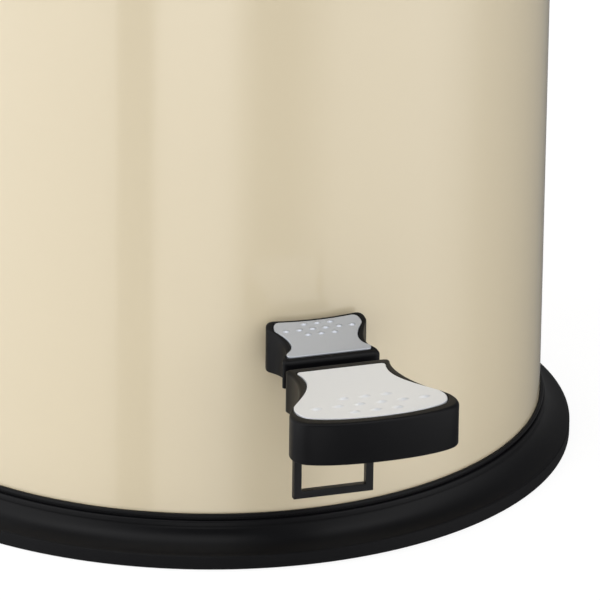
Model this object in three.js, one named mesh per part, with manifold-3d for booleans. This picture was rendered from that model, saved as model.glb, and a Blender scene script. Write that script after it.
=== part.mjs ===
// Pedal bin: a round painted steel body on a moulded base ring, a two-part foot pedal,
// a lever and push rod that lift the hinged lid, and a bucket with a bail inside.
// Millimetres, +Z up, pedal towards -Y. The floor is z = 0.
import * as THREE from 'three';
import { mergeVertices } from 'three/addons/utils/BufferGeometryUtils.js';
import Module from 'manifold-3d';

const wasm = await Module();
wasm.setup();

// ---------------------------------------------------------------- driving dimensions
const gap = 0.3; // between two pieces that touch or enclose each other
const roundSteps = 48; // flats around the body, the rings and the lid
const pinSteps = 16; // flats around pins, rods and holes

// Body
const bodyRadius = 170;
const bodyWall = 1;
const bodyTop = 612;

// Base ring
const ringReach = 15.6; // how far the skirt stands out from the body
const ringHeight = 23.3;
const ringRimHeight = 7;
const ringWall = 3;
const ledgeWidth = 11;
const ledgeTop = 9;
const ledgeThickness = 3;
const footRadius = 7;
const footCount = 4;
const plateThickness = 2;

// Pedal lever and its pivot
const pivotInset = 30; // from the body's surface in to the pivot
const pivotHeight = 113;
const pedalTravel = 7.61;
const armSpacing = 27;
const armThickness = 4;
const armHeight = 8;
const armStep = 8; // how far the arms come down outside the body, to run level under the front pad
const stepLead = 3; // the arms are level again this far behind the front pad's narrow end
const armDrop = 12.5; // degrees below level, inside the body
const barLead = 3.3; // at rest the lever's rear bar lies this far in front of the push rod
const rearBarRadius = 3;
const hubRadius = 11;
const tubeRadius = 7;
const tubeSideGap = 3;
const axleRadius = 4;
const tieWidth = 10;
const tieThickness = 4;
const bracketLength = 40;
const bracketSheet = 2;
const clipThickness = 1.5;
const clipRadius = 7;

// Pads
const waistStandoff = 37.5; // from the body to the front pad's narrow end
const frontPadLength = 72.5;
const padRise = 9.5; // from the middle of the arms up to the front pad's top
const frontPadDepth = 21.5;
const waistHalfWidth = 26.2;
const frontHalfWidth = 42.2;
const rearHalfWidth = 25.4;
const rearWaistTuck = 1.5; // the rear pad is this much narrower than the front pad at the waist, on each side
const rearNeckDraw = 6; // how far its sides are drawn in between its two ends
const waistGap = 7;
const wallClearance = 2.6; // the rear pad swings towards the body by less than this
const rearPadDepth = 13.5; // at the waist
const rearPadSlope = 20.5;
const padWall = 2.2;
const padRoof = 3.7; // rear pad, measured square to its sloping top
const treadMargin = 4;
const treadEndMargin = 5.5;
const rearTreadMargin = 3.2;
const rearTreadWaistMargin = 3.5;
const rearTreadWallMargin = 2;
const treadRecess = 1.2;
const treadThickness = 1.1;
const dimpleHeight = 0.7;
const frontDimple = { length: 6, width: 3.4, across: 10.3, along: 8.5, shift: 13 }; // from the tread's middle
const rearDimple = { length: 3.9, width: 2.1, across: 6.7, along: 3.9, shift: 5 };
const bossRadius = 6;
const boltRadius = 2;
const boltGrip = 3.4; // length of thread in a boss
const boltHeadRadius = 4.5;
const boltHeadHeight = 3;
const stirrupBar = 4.4;
const stirrupBottom = 45;

// Push rod, crank and lid hinge
const hingeSetback = 12; // from the body's surface back to the lid's hinge
const hingeRise = 10; // from the lid's lower edge up to the hinge
const lidTravel = 75;
const crankRadius = 32;
const crankThickness = 4;
const crankWidth = 12;
const crankTip = 2.9; // the tilting crank reaches this far past its own round end, towards the rod's socket
const crankPinRadius = 2.5;
const rodRadius = 3;
const eyeThickness = 4;
const eyeWall = 3;
const slotHalfLength = 7.2;
const slotPlay = 1;
const socketRadius = 5.5;
const socketLength = 16;
const guideHeights = [120, 545];
const guideHalfWidth = 14;
const guideSheet = 3;
const rivetRadius = 2;
const rivetHeadRadius = 3.5;
const rivetHeadHeight = 1.5;

// Top rim, lid and hinge housing
const rimStand = 6; // the rim's top above the body's top
const rimWidth = 24;
const rimDepth = 3.5;
const rimSheet = 2.2;
const rimSkirt = 10; // how far the rim reaches down outside the body
const rimTuck = 8; // and inside it
const lidGap = 2;
const lidOverhang = 2;
const lidSheet = 1;
const lidSkirt = 24;
const lidRise = 38;
const domeEase = 52; // from the lid's edge in to where the dome is level
const knuckleRadius = 7;
const knuckleWidth = 8;
const knuckleSpacing = 50;
const hingePinRadius = 3;
const housingHalfWidth = 38;
const housingWall = 4;
const housingBottom = 560;
const housingBehind = 15; // from the hinge to the housing's back
const housingLobe = 9; // radius of its cheeks around the hinge
const gripBottom = 520;
const gripHeight = 16;
const gripHalfWidth = 52;
const gripReach = 34;
const gripBar = 12;

// Inner bucket
const bucketBottom = 122;
const bucketSideGap = 6.5; // between the bucket's wall and the rim's opening
const bucketTaper = 19.5;
const bucketBearing = 6; // how far the bucket's flange lies on the rim
const bucketSheet = 2;
const bucketRimSheet = 2.3;
const flatClearance = 1.6; // between the straight edge of the flange and the rod's eye
const earHeight = 11;
const earSheet = 3;
const bailRadius = 2;
const bailInset = 9; // from the flange's edge in to the bail
const gripRadius = 5;
const gripSweep = 16;

// ---------------------------------------------------------------- derived places
const rad = THREE.MathUtils.degToRad;
const ringRadius = bodyRadius + ringReach;
const waistReach = bodyRadius + waistStandoff; // all of these are measured from the body's axis
const frontReach = waistReach + frontPadLength;
const pivotReach = bodyRadius - pivotInset;
const hingeReach = bodyRadius + hingeSetback;
const housingBack = hingeReach + housingBehind;
const rearEnd = bodyRadius + gripReach;
const centreShift = (frontReach - rearEnd) / 2; // puts the origin under the middle of the whole bin
const plateBottom = ledgeTop + gap;
const plateTop = plateBottom + plateThickness;
const rimTop = bodyTop + rimStand;
const rimInner = bodyRadius - rimWidth;
const lidBottom = rimTop + lidGap;
const lidRadius = bodyRadius + lidOverhang;
const hingeHeight = lidBottom + hingeRise;
const crankHalfAngle = lidTravel / 2;
const crankPinY = hingeReach - crankRadius * Math.cos(rad(crankHalfAngle));
const crankPinZ = hingeHeight - crankRadius * Math.sin(rad(crankHalfAngle));
const crankX = eyeThickness / 2 + 1.3;
const rodY = (crankPinY + hingeReach - crankRadius) / 2;
const upperSocketTop = crankPinZ - crankWidth / 2 - crankTip;
const armX = armSpacing / 2;
const armOuter = armX + armThickness / 2;
const armTop = pivotHeight + armHeight / 2;
const armBottom = pivotHeight - armHeight / 2;
const frontArmHeight = pivotHeight - armStep;
const rearReach = rodY - barLead;
const rearBarHeight = pivotHeight - (pivotReach + rearReach) * Math.tan(rad(armDrop));
const lowerSocketBottom = rearBarHeight + rearBarRadius + slotPlay + eyeWall;
const tubeHalfLength = armOuter + tubeSideGap;
const cheekInner = tubeHalfLength + 2 * gap;
const frontPadTop = frontArmHeight + padRise;
const frontCavityTop = frontArmHeight + armHeight / 2 + gap;
const rearNear = -waistReach + waistGap; // the rear pad's narrow end
const rearPadTop = frontPadTop; // at that end
const rearPadBottom = rearPadTop - rearPadDepth;
const rearPadRadius = bodyRadius + wallClearance;
const frontTieReach = frontReach - 30;
const rearTieReach = waistReach - waistGap - 11.3;
const stirrupReach = waistReach - waistGap / 2;
const bucketRimRadius = rimInner + bucketBearing;
const bucketTopRadius = rimInner - bucketSideGap;
const bucketBottomRadius = bucketTopRadius - bucketTaper;
const bucketFlat = rodY - slotHalfLength - eyeWall - flatClearance;
const bailReach = bucketRimRadius - bailInset;
const wellPast = bodyRadius; // long enough to run a cut right through any pad

// ---------------------------------------------------------------- materials
function material(color, roughness, metalness) {
  return new THREE.MeshStandardMaterial({ color, roughness, metalness });
}
const creamPaint = material(0xd9caa9, 0.25, 0.0);
const blackPlastic = material(0x17181a, 0.45, 0.0);
const satinMetal = material(0xc9cacc, 0.35, 0.9);
const darkMetal = material(0x202225, 0.45, 0.6);
const greyPlastic = material(0x55585b, 0.5, 0.0);
const blackRubber = material(0x101011, 0.9, 0.0);

// ---------------------------------------------------------------- solids
// A closed geometry with shared vertices and its faces pointing out.
function closed(geometry) {
  const plain = geometry.index ? geometry.toNonIndexed() : geometry.clone();
  plain.deleteAttribute('normal');
  plain.deleteAttribute('uv');
  const merged = mergeVertices(plain, 1e-4);
  const position = merged.attributes.position;
  const source = merged.index.array;
  const kept = [];
  let volume = 0;
  const a = new THREE.Vector3();
  const b = new THREE.Vector3();
  const c = new THREE.Vector3();
  for (let i = 0; i < source.length; i += 3) {
    const [p, q, r] = [source[i], source[i + 1], source[i + 2]];
    if (p === q || q === r || r === p) continue;
    kept.push(p, q, r);
    a.fromBufferAttribute(position, p);
    b.fromBufferAttribute(position, q);
    c.fromBufferAttribute(position, r);
    volume += a.dot(b.cross(c));
  }
  merged.setIndex(volume < 0 ? kept.reverse() : kept);
  return merged;
}

function solid(geometry) {
  const shape = closed(geometry);
  const vertProperties = new Float32Array(shape.attributes.position.array);
  const triVerts = new Uint32Array(shape.index.array);
  return new wasm.Manifold(new wasm.Mesh({ numProp: 3, vertProperties, triVerts }));
}

function surface(manifold) {
  const mesh = manifold.getMesh();
  const geometry = new THREE.BufferGeometry();
  geometry.setAttribute('position', new THREE.BufferAttribute(new Float32Array(mesh.vertProperties), 3));
  geometry.setIndex(new THREE.BufferAttribute(new Uint32Array(mesh.triVerts), 1));
  geometry.computeVertexNormals();
  return geometry;
}

function join(...pieces) {
  return pieces.reduce((whole, piece) => whole.add(piece));
}

function cut(whole, ...tools) {
  return tools.reduce((left, tool) => left.subtract(tool), whole);
}

// A box given by its low and high corners.
function box([x0, y0, z0], [x1, y1, z1]) {
  const geometry = new THREE.BoxGeometry(x1 - x0, y1 - y0, z1 - z0);
  geometry.translate((x0 + x1) / 2, (y0 + y1) / 2, (z0 + z1) / 2);
  return solid(geometry);
}

// A rod of a given radius between two heights (or lengths) along one axis.
function rodAlong(axis, radius, from, to, [u, v], steps = pinSteps) {
  const geometry = new THREE.CylinderGeometry(radius, radius, to - from, steps);
  const middle = (from + to) / 2;
  if (axis === 'x') geometry.rotateZ(Math.PI / 2).translate(middle, u, v);
  if (axis === 'y') geometry.translate(u, middle, v);
  if (axis === 'z') geometry.rotateX(Math.PI / 2).translate(u, v, middle);
  return solid(geometry);
}

// A closed outline of [radius, height] points turned about the z axis.
function turned(profile, steps = roundSteps) {
  const points = profile.map(([r, z]) => new THREE.Vector2(r, z));
  const onAxis = profile[0][0] === 0 && profile.at(-1)[0] === 0;
  if (!onAxis) points.push(points[0].clone());
  return solid(new THREE.LatheGeometry(points, steps).rotateX(Math.PI / 2));
}

// A plan outline raised from one height to another.
function raised(shape, from, to) {
  const settings = { depth: to - from, bevelEnabled: false, curveSegments: 8 };
  const geometry = new THREE.ExtrudeGeometry(shape, settings);
  return solid(geometry.translate(0, 0, from));
}

// An outline in (y, z) run along x.
function acrossX(points, from, to) {
  const shape = new THREE.Shape(points.map(([y, z]) => new THREE.Vector2(y, z)));
  const geometry = new THREE.ExtrudeGeometry(shape, { depth: to - from, bevelEnabled: false });
  const turn = new THREE.Matrix4().makeBasis(
    new THREE.Vector3(0, 1, 0),
    new THREE.Vector3(0, 0, 1),
    new THREE.Vector3(1, 0, 0),
  );
  return solid(geometry.applyMatrix4(turn).translate(from, 0, 0));
}

// A flat bar in the (y, z) plane between two points, with a given width, run along x.
function barAcrossX([y0, z0], [y1, z1], width, from, to) {
  const length = Math.hypot(y1 - y0, z1 - z0);
  const ny = (-(z1 - z0) / length) * (width / 2);
  const nz = ((y1 - y0) / length) * (width / 2);
  const corners = [
    [y0 - ny, z0 - nz],
    [y1 - ny, z1 - nz],
    [y1 + ny, z1 + nz],
    [y0 + ny, z0 + nz],
  ];
  return acrossX(corners, from, to);
}

function curvePoints(curve, steps) {
  return curve.getPoints(steps).map((p) => [p.x, p.y]);
}

// The right-hand half of a plan outline, mirrored in x to close it.
function mirroredShape(half) {
  const right = half.getPoints(6);
  const left = right.slice().reverse().map((p) => new THREE.Vector2(-p.x, p.y));
  const outline = [...right, ...left].filter((p, i, all) => i === 0 || p.distanceTo(all[i - 1]) > 1e-3);
  return new THREE.Shape(outline);
}

const bin = new THREE.Group();
bin.position.y = centreShift;

function place(name, shape, look, group = bin) {
  const mesh = new THREE.Mesh(surface(shape), look);
  mesh.name = name;
  group.add(mesh);
  return mesh;
}

// ---------------------------------------------------------------- base
function baseRing() {
  const lip = bodyRadius + 3;
  const lipBottom = ringHeight - 6.4;
  const flare = new THREE.QuadraticBezierCurve(
    new THREE.Vector2(ringRadius - 0.7, ringRimHeight),
    new THREE.Vector2(lip + 1.6, ringRimHeight + 2.4),
    new THREE.Vector2(lip - 0.4, lipBottom),
  );
  const inner = bodyRadius + gap;
  const underside = ledgeTop - ledgeThickness;
  return turned([
    [ringRadius - ringWall, 0],
    [ringRadius - 0.5, 0],
    [ringRadius, 0.8],
    [ringRadius, ringRimHeight - 0.6],
    ...curvePoints(flare, 4),
    [lip, lipBottom + 1.4],
    [lip - 0.5, ringHeight - 3.2],
    [inner + 1, ringHeight - 2.8],
    [inner + 1, ringHeight - 2],
    [inner + 1.8, ringHeight - 1.4],
    [inner + 1.6, ringHeight - 0.3],
    [inner + 1, ringHeight],
    [inner, ringHeight],
    [inner, ledgeTop],
    [bodyRadius - ledgeWidth, ledgeTop],
    [bodyRadius - ledgeWidth, underside],
    [ringRadius - ringWall - 5, underside],
    [ringRadius - ringWall, ringRimHeight - ringWall],
  ]);
}
place('base_ring', baseRing(), blackPlastic);

const footReach = bodyRadius - ledgeWidth + footRadius + 1;
for (let i = 0; i < footCount; i += 1) {
  const turn = rad(45 + (360 / footCount) * i);
  const centre = [footReach * Math.cos(turn), footReach * Math.sin(turn)];
  const foot = rodAlong('z', footRadius, 0, ledgeTop - ledgeThickness - gap, centre);
  place(`foot_${i + 1}`, foot, blackRubber);
}

const bracketBoltReach = [pivotReach - bracketLength / 2 + 7, pivotReach + bracketLength / 2 - 7];
function bracketHoles(from, to) {
  return bracketBoltReach.map((reach) => rodAlong('z', boltRadius + gap, from, to, [0, -reach]));
}

const plateRadius = bodyRadius - bodyWall - 2 * gap;
const basePlate = turned([
  [0, plateBottom], [plateRadius, plateBottom], [plateRadius, plateTop], [0, plateTop],
]);
place('base_plate', cut(basePlate, ...bracketHoles(plateBottom - 1, plateTop + 1)), blackPlastic);

// ---------------------------------------------------------------- body
const slotDrop = (bodyRadius - pivotReach) * Math.sin(rad(pedalTravel));
const slotHalfWidth = armThickness / 2 + 1.7;
const rivetHeights = guideHeights.map((height) => height + 7);
const rivetX = guideHalfWidth - 5;

function bodyShell() {
  const inner = bodyRadius - bodyWall;
  const bottom = plateBottom;
  const wall = turned([[inner, bottom], [bodyRadius, bottom], [bodyRadius, bodyTop], [inner, bodyTop]]);
  const slots = [-armX, armX].map((x) => box(
    [x - slotHalfWidth, -bodyRadius - 5, armBottom - slotDrop - 2],
    [x + slotHalfWidth, -bodyRadius + 15, armTop + 2.5],
  ));
  const holes = rivetHeights.flatMap((height) => [-rivetX, rivetX].map((x) => (
    rodAlong('y', rivetRadius + gap, bodyRadius - 8, bodyRadius + 4, [x, height])
  )));
  const crankNotch = box(
    [crankX - 2, bodyRadius - 10, bodyTop - 7],
    [crankX + crankThickness + 2, bodyRadius + 5, bodyTop + 1],
  );
  return cut(wall, ...slots, ...holes, crankNotch);
}
place('body_shell', bodyShell(), creamPaint);

// ---------------------------------------------------------------- pivot bracket and axle
function pivotBracket() {
  const bottom = plateTop + gap;
  const front = -pivotReach - bracketLength / 2;
  const back = -pivotReach + bracketLength / 2;
  const outer = cheekInner + bracketSheet;
  const top = pivotHeight + axleRadius + 6;
  const web = box([-outer, front, bottom], [outer, back, bottom + bracketSheet]);
  const cheeks = [-1, 1].map((side) => {
    const outline = [[front, bottom], [back, bottom], [-pivotReach + 10, top], [-pivotReach - 10, top]];
    const near = side > 0 ? cheekInner : -outer;
    return acrossX(outline, near, near + bracketSheet);
  });
  const bore = rodAlong('x', axleRadius + gap, -outer - 1, outer + 1, [-pivotReach, pivotHeight]);
  return cut(join(web, ...cheeks), bore, ...bracketHoles(bottom - 1, bottom + bracketSheet + 1));
}
place('pivot_bracket', pivotBracket(), darkMetal);

const boltSeat = plateTop + gap + bracketSheet + gap;
bracketBoltReach.forEach((reach, i) => {
  const shank = rodAlong('z', boltRadius, plateBottom, boltSeat + 1, [0, -reach]);
  const head = rodAlong('z', boltHeadRadius, boltSeat, boltSeat + boltHeadHeight, [0, -reach], 6);
  place(`bracket_bolt_${i + 1}`, join(shank, head), satinMetal);
});

const axleEnd = cheekInner + bracketSheet + gap + clipThickness + 1.5;
const pivot = [-pivotReach, pivotHeight];
place('lever_axle', rodAlong('x', axleRadius, -axleEnd, axleEnd, pivot), satinMetal);
for (const [side, sign] of [['left', -1], ['right', 1]]) {
  const near = cheekInner + bracketSheet + gap;
  const [from, to] = [near * sign, (near + clipThickness) * sign].sort((p, q) => p - q);
  const ring = rodAlong('x', clipRadius, from, to, pivot);
  const bore = rodAlong('x', axleRadius + gap, from - 1, to + 1, pivot);
  place(`axle_clip_${side}`, cut(ring, bore), satinMetal);
}

// ---------------------------------------------------------------- pedal lever
const pedal = new THREE.Group();
bin.add(pedal);
const rearBar = [rearReach, rearBarHeight];
const armLevelEnd = waistReach - stepLead;

// Height of the middle of the arms outside the body: level under the front pad, then rising to the wall.
function armHeightAt(reach) {
  const run = THREE.MathUtils.clamp((armLevelEnd - reach) / (armLevelEnd - bodyRadius), 0, 1);
  return THREE.MathUtils.lerp(frontArmHeight, pivotHeight, run);
}

function pedalLever() {
  const tip = [-frontReach + 18, frontArmHeight];
  const lowBend = [-armLevelEnd, frontArmHeight];
  const highBend = [-bodyRadius, pivotHeight];
  const sides = [-armX, armX].map((x) => {
    const [from, to] = [x - armThickness / 2, x + armThickness / 2];
    return join(
      barAcrossX(tip, lowBend, armHeight, from, to),
      rodAlong('x', armHeight / 2, from, to, lowBend),
      barAcrossX(lowBend, highBend, armHeight, from, to),
      rodAlong('x', armHeight / 2, from, to, highBend),
      barAcrossX(highBend, pivot, armHeight, from, to),
      rodAlong('x', hubRadius, from, to, pivot),
      barAcrossX(pivot, rearBar, armHeight, from, to),
      rodAlong('x', armHeight / 2 + 2, from, to, rearBar),
    );
  });
  const ties = [frontTieReach, rearTieReach].map((reach) => {
    const middle = armHeightAt(reach);
    const tie = box(
      [-armX, -reach - tieWidth / 2, middle - tieThickness / 2],
      [armX, -reach + tieWidth / 2, middle + tieThickness / 2],
    );
    return cut(tie, rodAlong('z', boltRadius + gap, middle - tieThickness, middle + tieThickness, [0, -reach]));
  });
  const bar = rodAlong('x', rearBarRadius, -armX, armX, rearBar);
  const bore = rodAlong('x', tubeRadius + gap, -armOuter - 1, armOuter + 1, pivot);
  return cut(join(...sides, ...ties, bar), bore);
}
place('pedal_lever', pedalLever(), darkMetal, pedal);

const tube = rodAlong('x', tubeRadius, -tubeHalfLength, tubeHalfLength, pivot);
const tubeBore = rodAlong('x', axleRadius + gap, -tubeHalfLength - 1, tubeHalfLength + 1, pivot);
place('pivot_tube', cut(tube, tubeBore), satinMetal, pedal);

// A square hoop that straddles the arms, welded to their outer faces between the two pads.
function stopStirrup() {
  const inner = armOuter + gap;
  const outer = inner + stirrupBar;
  const top = frontArmHeight + armHeight / 2 - 1;
  const [front, back] = [-stirrupReach - stirrupBar / 2, -stirrupReach + stirrupBar / 2];
  const frame = box([-outer, front, stirrupBottom], [outer, back, top]);
  return cut(frame, box([-inner, front - 1, stirrupBottom + stirrupBar], [inner, back + 1, top + 1]));
}
place('stop_stirrup', stopStirrup(), darkMetal, pedal);

// ---------------------------------------------------------------- pads and treads
// Plan outline of the front pad, drawn in by a side margin and an end margin.
function frontPadShape(side, end) {
  const narrow = waistHalfWidth - side;
  const wide = frontHalfWidth - side;
  const near = -waistReach - end;
  const far = -frontReach + end;
  const half = new THREE.Path();
  half.moveTo(narrow, near);
  half.bezierCurveTo(narrow - 3.5, near - 15, narrow + 2.5, far + 37, wide - 2.2, far + 22.5);
  half.bezierCurveTo(wide + 0.4, far + 19, wide + 1.1, far + 9.5, wide - 5.4, far + 6);
  half.quadraticCurveTo(wide - 15, far + 1, 0, far);
  return mirroredShape(half);
}

// Plan outline of the rear pad, drawn in by margins at its sides, at the waist and at the body's wall.
function rearPadShape(side, waistEnd, wallEnd) {
  const narrow = waistHalfWidth - rearWaistTuck - side;
  const wide = rearHalfWidth - side;
  const near = rearNear + waistEnd;
  const wall = rearPadRadius + wallEnd;
  const wallAt = (x) => -Math.sqrt(wall * wall - x * x);
  const cornerX = wide - 5;
  const cornerY = wallAt(wide) - 6;
  const neckAt = (share) => near + (cornerY - near) * share;
  const half = new THREE.Path();
  half.moveTo(narrow, near);
  half.bezierCurveTo(narrow - rearNeckDraw, neckAt(0.3), wide - rearNeckDraw - 1, neckAt(0.56), wide, cornerY);
  half.quadraticCurveTo(wide, wallAt(wide), cornerX, wallAt(cornerX));
  half.absarc(0, 0, wall, -Math.PI / 2 + Math.asin(cornerX / wall), -Math.PI / 2, true);
  return mirroredShape(half);
}

// Notches in a pad's end wall where the lever's two arms pass.
function armNotches(reach, length) {
  const half = armThickness / 2 + 2 * gap;
  const top = armHeightAt(reach - length / 2) + armHeight / 2 + 2 * gap;
  return [-armX, armX].map((x) => box(
    [x - half, -reach - length / 2, frontPadTop - frontPadDepth - 1],
    [x + half, -reach + length / 2, top],
  ));
}

// A pad is bolted from below: the bolt passes a tie between the arms and ends in a boss under the pad's roof.
function bossBottom(reach) {
  return armHeightAt(reach) + tieThickness / 2 + gap;
}

function padBoss(reach, top) {
  return rodAlong('z', bossRadius, bossBottom(reach), top, [0, -reach]);
}

function bossHole(reach) {
  return rodAlong('z', boltRadius + gap, bossBottom(reach) - 1, bossBottom(reach) + boltGrip, [0, -reach]);
}

function padBolt(reach) {
  const seat = armHeightAt(reach) - tieThickness / 2 - gap;
  const head = rodAlong('z', boltHeadRadius, seat - boltHeadHeight, seat, [0, -reach]);
  return join(head, rodAlong('z', boltRadius, seat - 1, bossBottom(reach) + boltGrip - gap, [0, -reach]));
}

function dimple(size, x, y, z) {
  const geometry = new THREE.CylinderGeometry(0.36, 0.5, 2 * dimpleHeight, 10);
  geometry.rotateX(Math.PI / 2).scale(size.length, size.width, 1).translate(x, y, z);
  return geometry;
}

// Twelve ovals in rows of three, six and three, on a tread lying level at height z.
function dimples(size, reach, z, tilt) {
  const rows = [
    { count: 3, offset: 1 },
    { count: 6, offset: 0 },
    { count: 3, offset: -1 },
  ];
  return rows.flatMap(({ count, offset }) => Array.from({ length: count }, (_, i) => {
    const x = (i - (count - 1) / 2) * size.across;
    return tilt(dimple(size, x, -reach + offset * size.along, z));
  })).map(solid);
}

function frontPad() {
  const block = raised(frontPadShape(0, 0), frontPadTop - frontPadDepth, frontPadTop);
  const hollow = raised(frontPadShape(padWall, padWall), frontPadTop - frontPadDepth - 1, frontCavityTop);
  const recess = raised(
    frontPadShape(treadMargin - gap, treadEndMargin - gap),
    frontPadTop - treadRecess,
    frontPadTop + 1,
  );
  const notches = armNotches(waistReach, 2 * padWall + 2);
  const shell = cut(block, hollow, recess, ...notches);
  return cut(join(shell, padBoss(frontTieReach, frontCavityTop + 1)), bossHole(frontTieReach));
}
place('front_pad', frontPad(), blackPlastic, pedal);

function frontTread() {
  const bottom = frontPadTop - treadRecess + gap;
  const sheet = raised(frontPadShape(treadMargin, treadEndMargin), bottom, bottom + treadThickness);
  const reach = (waistReach + frontReach) / 2 + frontDimple.shift;
  return join(sheet, ...dimples(frontDimple, reach, bottom + treadThickness, (g) => g));
}
place('front_tread', frontTread(), satinMetal, pedal);
place('front_pad_bolt', padBolt(frontTieReach), satinMetal, pedal);

// Tilts a shape about the rear pad's narrow end, where its sloping top starts.
function tilted(geometry) {
  geometry.translate(0, -rearNear, -rearPadTop);
  geometry.rotateX(rad(rearPadSlope));
  return geometry.translate(0, rearNear, rearPadTop);
}

// A slab parallel to the rear pad's top, between two heights above it.
function slopingSlab(from, to) {
  const geometry = new THREE.BoxGeometry(2 * wellPast, 2 * wellPast, to - from);
  return solid(tilted(geometry.translate(0, rearNear, rearPadTop + (from + to) / 2)));
}

function rearPad() {
  const above = rearPadTop + wellPast;
  const block = cut(raised(rearPadShape(0, 0, 0), rearPadBottom, above), slopingSlab(0, 2 * wellPast));
  const hollow = raised(rearPadShape(padWall, padWall, padWall), rearPadBottom - 1, above);
  const underRoof = slopingSlab(-wellPast, -padRoof);
  const opening = raised(
    rearPadShape(rearTreadMargin - gap, rearTreadWaistMargin - gap, rearTreadWallMargin - gap),
    rearPadBottom,
    above,
  );
  const recess = opening.intersect(slopingSlab(-treadRecess, 2 * wellPast));
  const notches = [
    ...armNotches(waistReach - waistGap, 2 * padWall + 2),
    ...armNotches(rearPadRadius, 12),
  ];
  const shell = cut(block, hollow.intersect(underRoof), recess, ...notches);
  const boss = padBoss(rearTieReach, above).intersect(slopingSlab(-wellPast, 0.4 - padRoof));
  return cut(join(shell, boss), bossHole(rearTieReach));
}
place('rear_pad', rearPad(), blackPlastic, pedal);

function rearTread() {
  const bottom = -treadRecess + gap;
  const outline = raised(
    rearPadShape(rearTreadMargin, rearTreadWaistMargin, rearTreadWallMargin),
    rearPadBottom,
    rearPadTop + wellPast,
  );
  const sheet = outline.intersect(slopingSlab(bottom, bottom + treadThickness));
  const middle = (rearNear + rearTreadWaistMargin - rearPadRadius - rearTreadWallMargin) / 2 + rearDimple.shift;
  const along = (middle - rearNear) / Math.cos(rad(rearPadSlope));
  return join(sheet, ...dimples(rearDimple, -rearNear - along, rearPadTop + bottom + treadThickness, tilted));
}
place('rear_tread', rearTread(), satinMetal, pedal);
place('rear_pad_bolt', padBolt(rearTieReach), satinMetal, pedal);

// ---------------------------------------------------------------- push rod
const rod = new THREE.Group();
bin.add(rod);

// A flat eye with a level slot, and a socket for the rod above or below it.
function slottedEye(centre, barRadius, socketFrom, socketTo, boreFrom, boreTo) {
  const halfHeight = barRadius + slotPlay;
  const thick = eyeThickness / 2;
  const plate = box(
    [-thick, rodY - slotHalfLength - eyeWall, Math.min(centre - halfHeight - eyeWall, socketTo - 2)],
    [thick, rodY + slotHalfLength + eyeWall, Math.max(centre + halfHeight + eyeWall, socketFrom + 2)],
  );
  const slot = box(
    [-thick - 1, rodY - slotHalfLength, centre - halfHeight],
    [thick + 1, rodY + slotHalfLength, centre + halfHeight],
  );
  const socket = rodAlong('z', socketRadius, socketFrom, socketTo, [0, rodY]);
  const bore = rodAlong('z', rodRadius + gap, boreFrom, boreTo, [0, rodY]);
  return cut(join(plate, socket), slot, bore);
}

const lowerSocketTop = lowerSocketBottom + socketLength;
const upperSocketBottom = upperSocketTop - socketLength;
const lowerEye = slottedEye(
  rearBarHeight, rearBarRadius, lowerSocketBottom, lowerSocketTop, lowerSocketBottom + 4, lowerSocketTop + 1,
);
const upperEye = slottedEye(
  crankPinZ, crankPinRadius, upperSocketBottom, upperSocketTop, upperSocketBottom - 1, upperSocketTop - 4,
);
const pushRod = rodAlong('z', rodRadius, lowerSocketBottom + 4 + gap, upperSocketTop - 4 - gap, [0, rodY]);
place('rod_lower_eye', lowerEye, darkMetal, rod);
place('rod_upper_eye', upperEye, darkMetal, rod);
place('push_rod', pushRod, satinMetal, rod);

const innerWall = turned([
  [0, 0],
  [bodyRadius - bodyWall - gap, 0],
  [bodyRadius - bodyWall - gap, bodyTop],
  [0, bodyTop],
]);
function rodGuide(height) {
  const back = bodyRadius - bodyWall - guideSheet;
  const pad = box([-guideHalfWidth, back - 1.5, height], [guideHalfWidth, bodyRadius, height + 14]);
  const tab = box([-9, rodY - rodRadius - 4, height], [9, back, height + guideSheet]);
  const bore = rodAlong('z', rodRadius + 2 * gap, height - 1, height + guideSheet + 1, [0, rodY]);
  const holes = [-rivetX, rivetX].map((x) => (
    rodAlong('y', rivetRadius + gap, back - 4, bodyRadius + 1, [x, height + 7])
  ));
  return cut(join(pad.intersect(innerWall), tab), bore, ...holes);
}
guideHeights.forEach((height, i) => {
  place(`rod_guide_${i + 1}`, rodGuide(height), darkMetal);
});

let rivetNumber = 1;
for (const height of rivetHeights) {
  for (const x of [-rivetX, rivetX]) {
    const seat = bodyRadius + gap;
    const head = rodAlong('y', rivetHeadRadius, seat, seat + rivetHeadHeight, [x, height]);
    const shank = rodAlong('y', rivetRadius, bodyRadius - bodyWall - guideSheet - 1, seat + 1, [x, height]);
    place(`guide_rivet_${rivetNumber}`, join(head, shank), satinMetal);
    rivetNumber += 1;
  }
}

// ---------------------------------------------------------------- top rim
const rodPassage = box(
  [-socketRadius - 2.5, bucketFlat - 1, bodyTop - 40],
  [crankX + crankThickness + 2.7, bodyRadius + 10, rimTop + 5],
);
function topRim() {
  const outside = bodyRadius + gap;
  const inside = bodyRadius - bodyWall - gap;
  const under = rimTop - rimDepth;
  const ring = turned([
    [rimInner, under],
    [inside - rimSheet, under],
    [inside - rimSheet, bodyTop - rimTuck],
    [inside, bodyTop - rimTuck],
    [inside, bodyTop + gap],
    [outside, bodyTop + gap],
    [outside, bodyTop - rimSkirt],
    [outside + rimSheet, bodyTop - rimSkirt],
    [outside + rimSheet, rimTop - 1.5],
    [outside + rimSheet - 1.5, rimTop],
    [rimInner, rimTop],
  ]);
  return cut(ring, rodPassage);
}
place('top_rim', topRim(), blackPlastic);

for (let i = 0; i < 3; i += 1) {
  const turn = rad(-90 + 120 * i);
  const reach = lidRadius - 2.5;
  const centre = [reach * Math.cos(turn), reach * Math.sin(turn)];
  const bumper = rodAlong('z', 2.4, rimTop + gap, lidBottom - gap, centre, 12);
  place(`lid_bumper_${i + 1}`, bumper, blackRubber);
}

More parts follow.
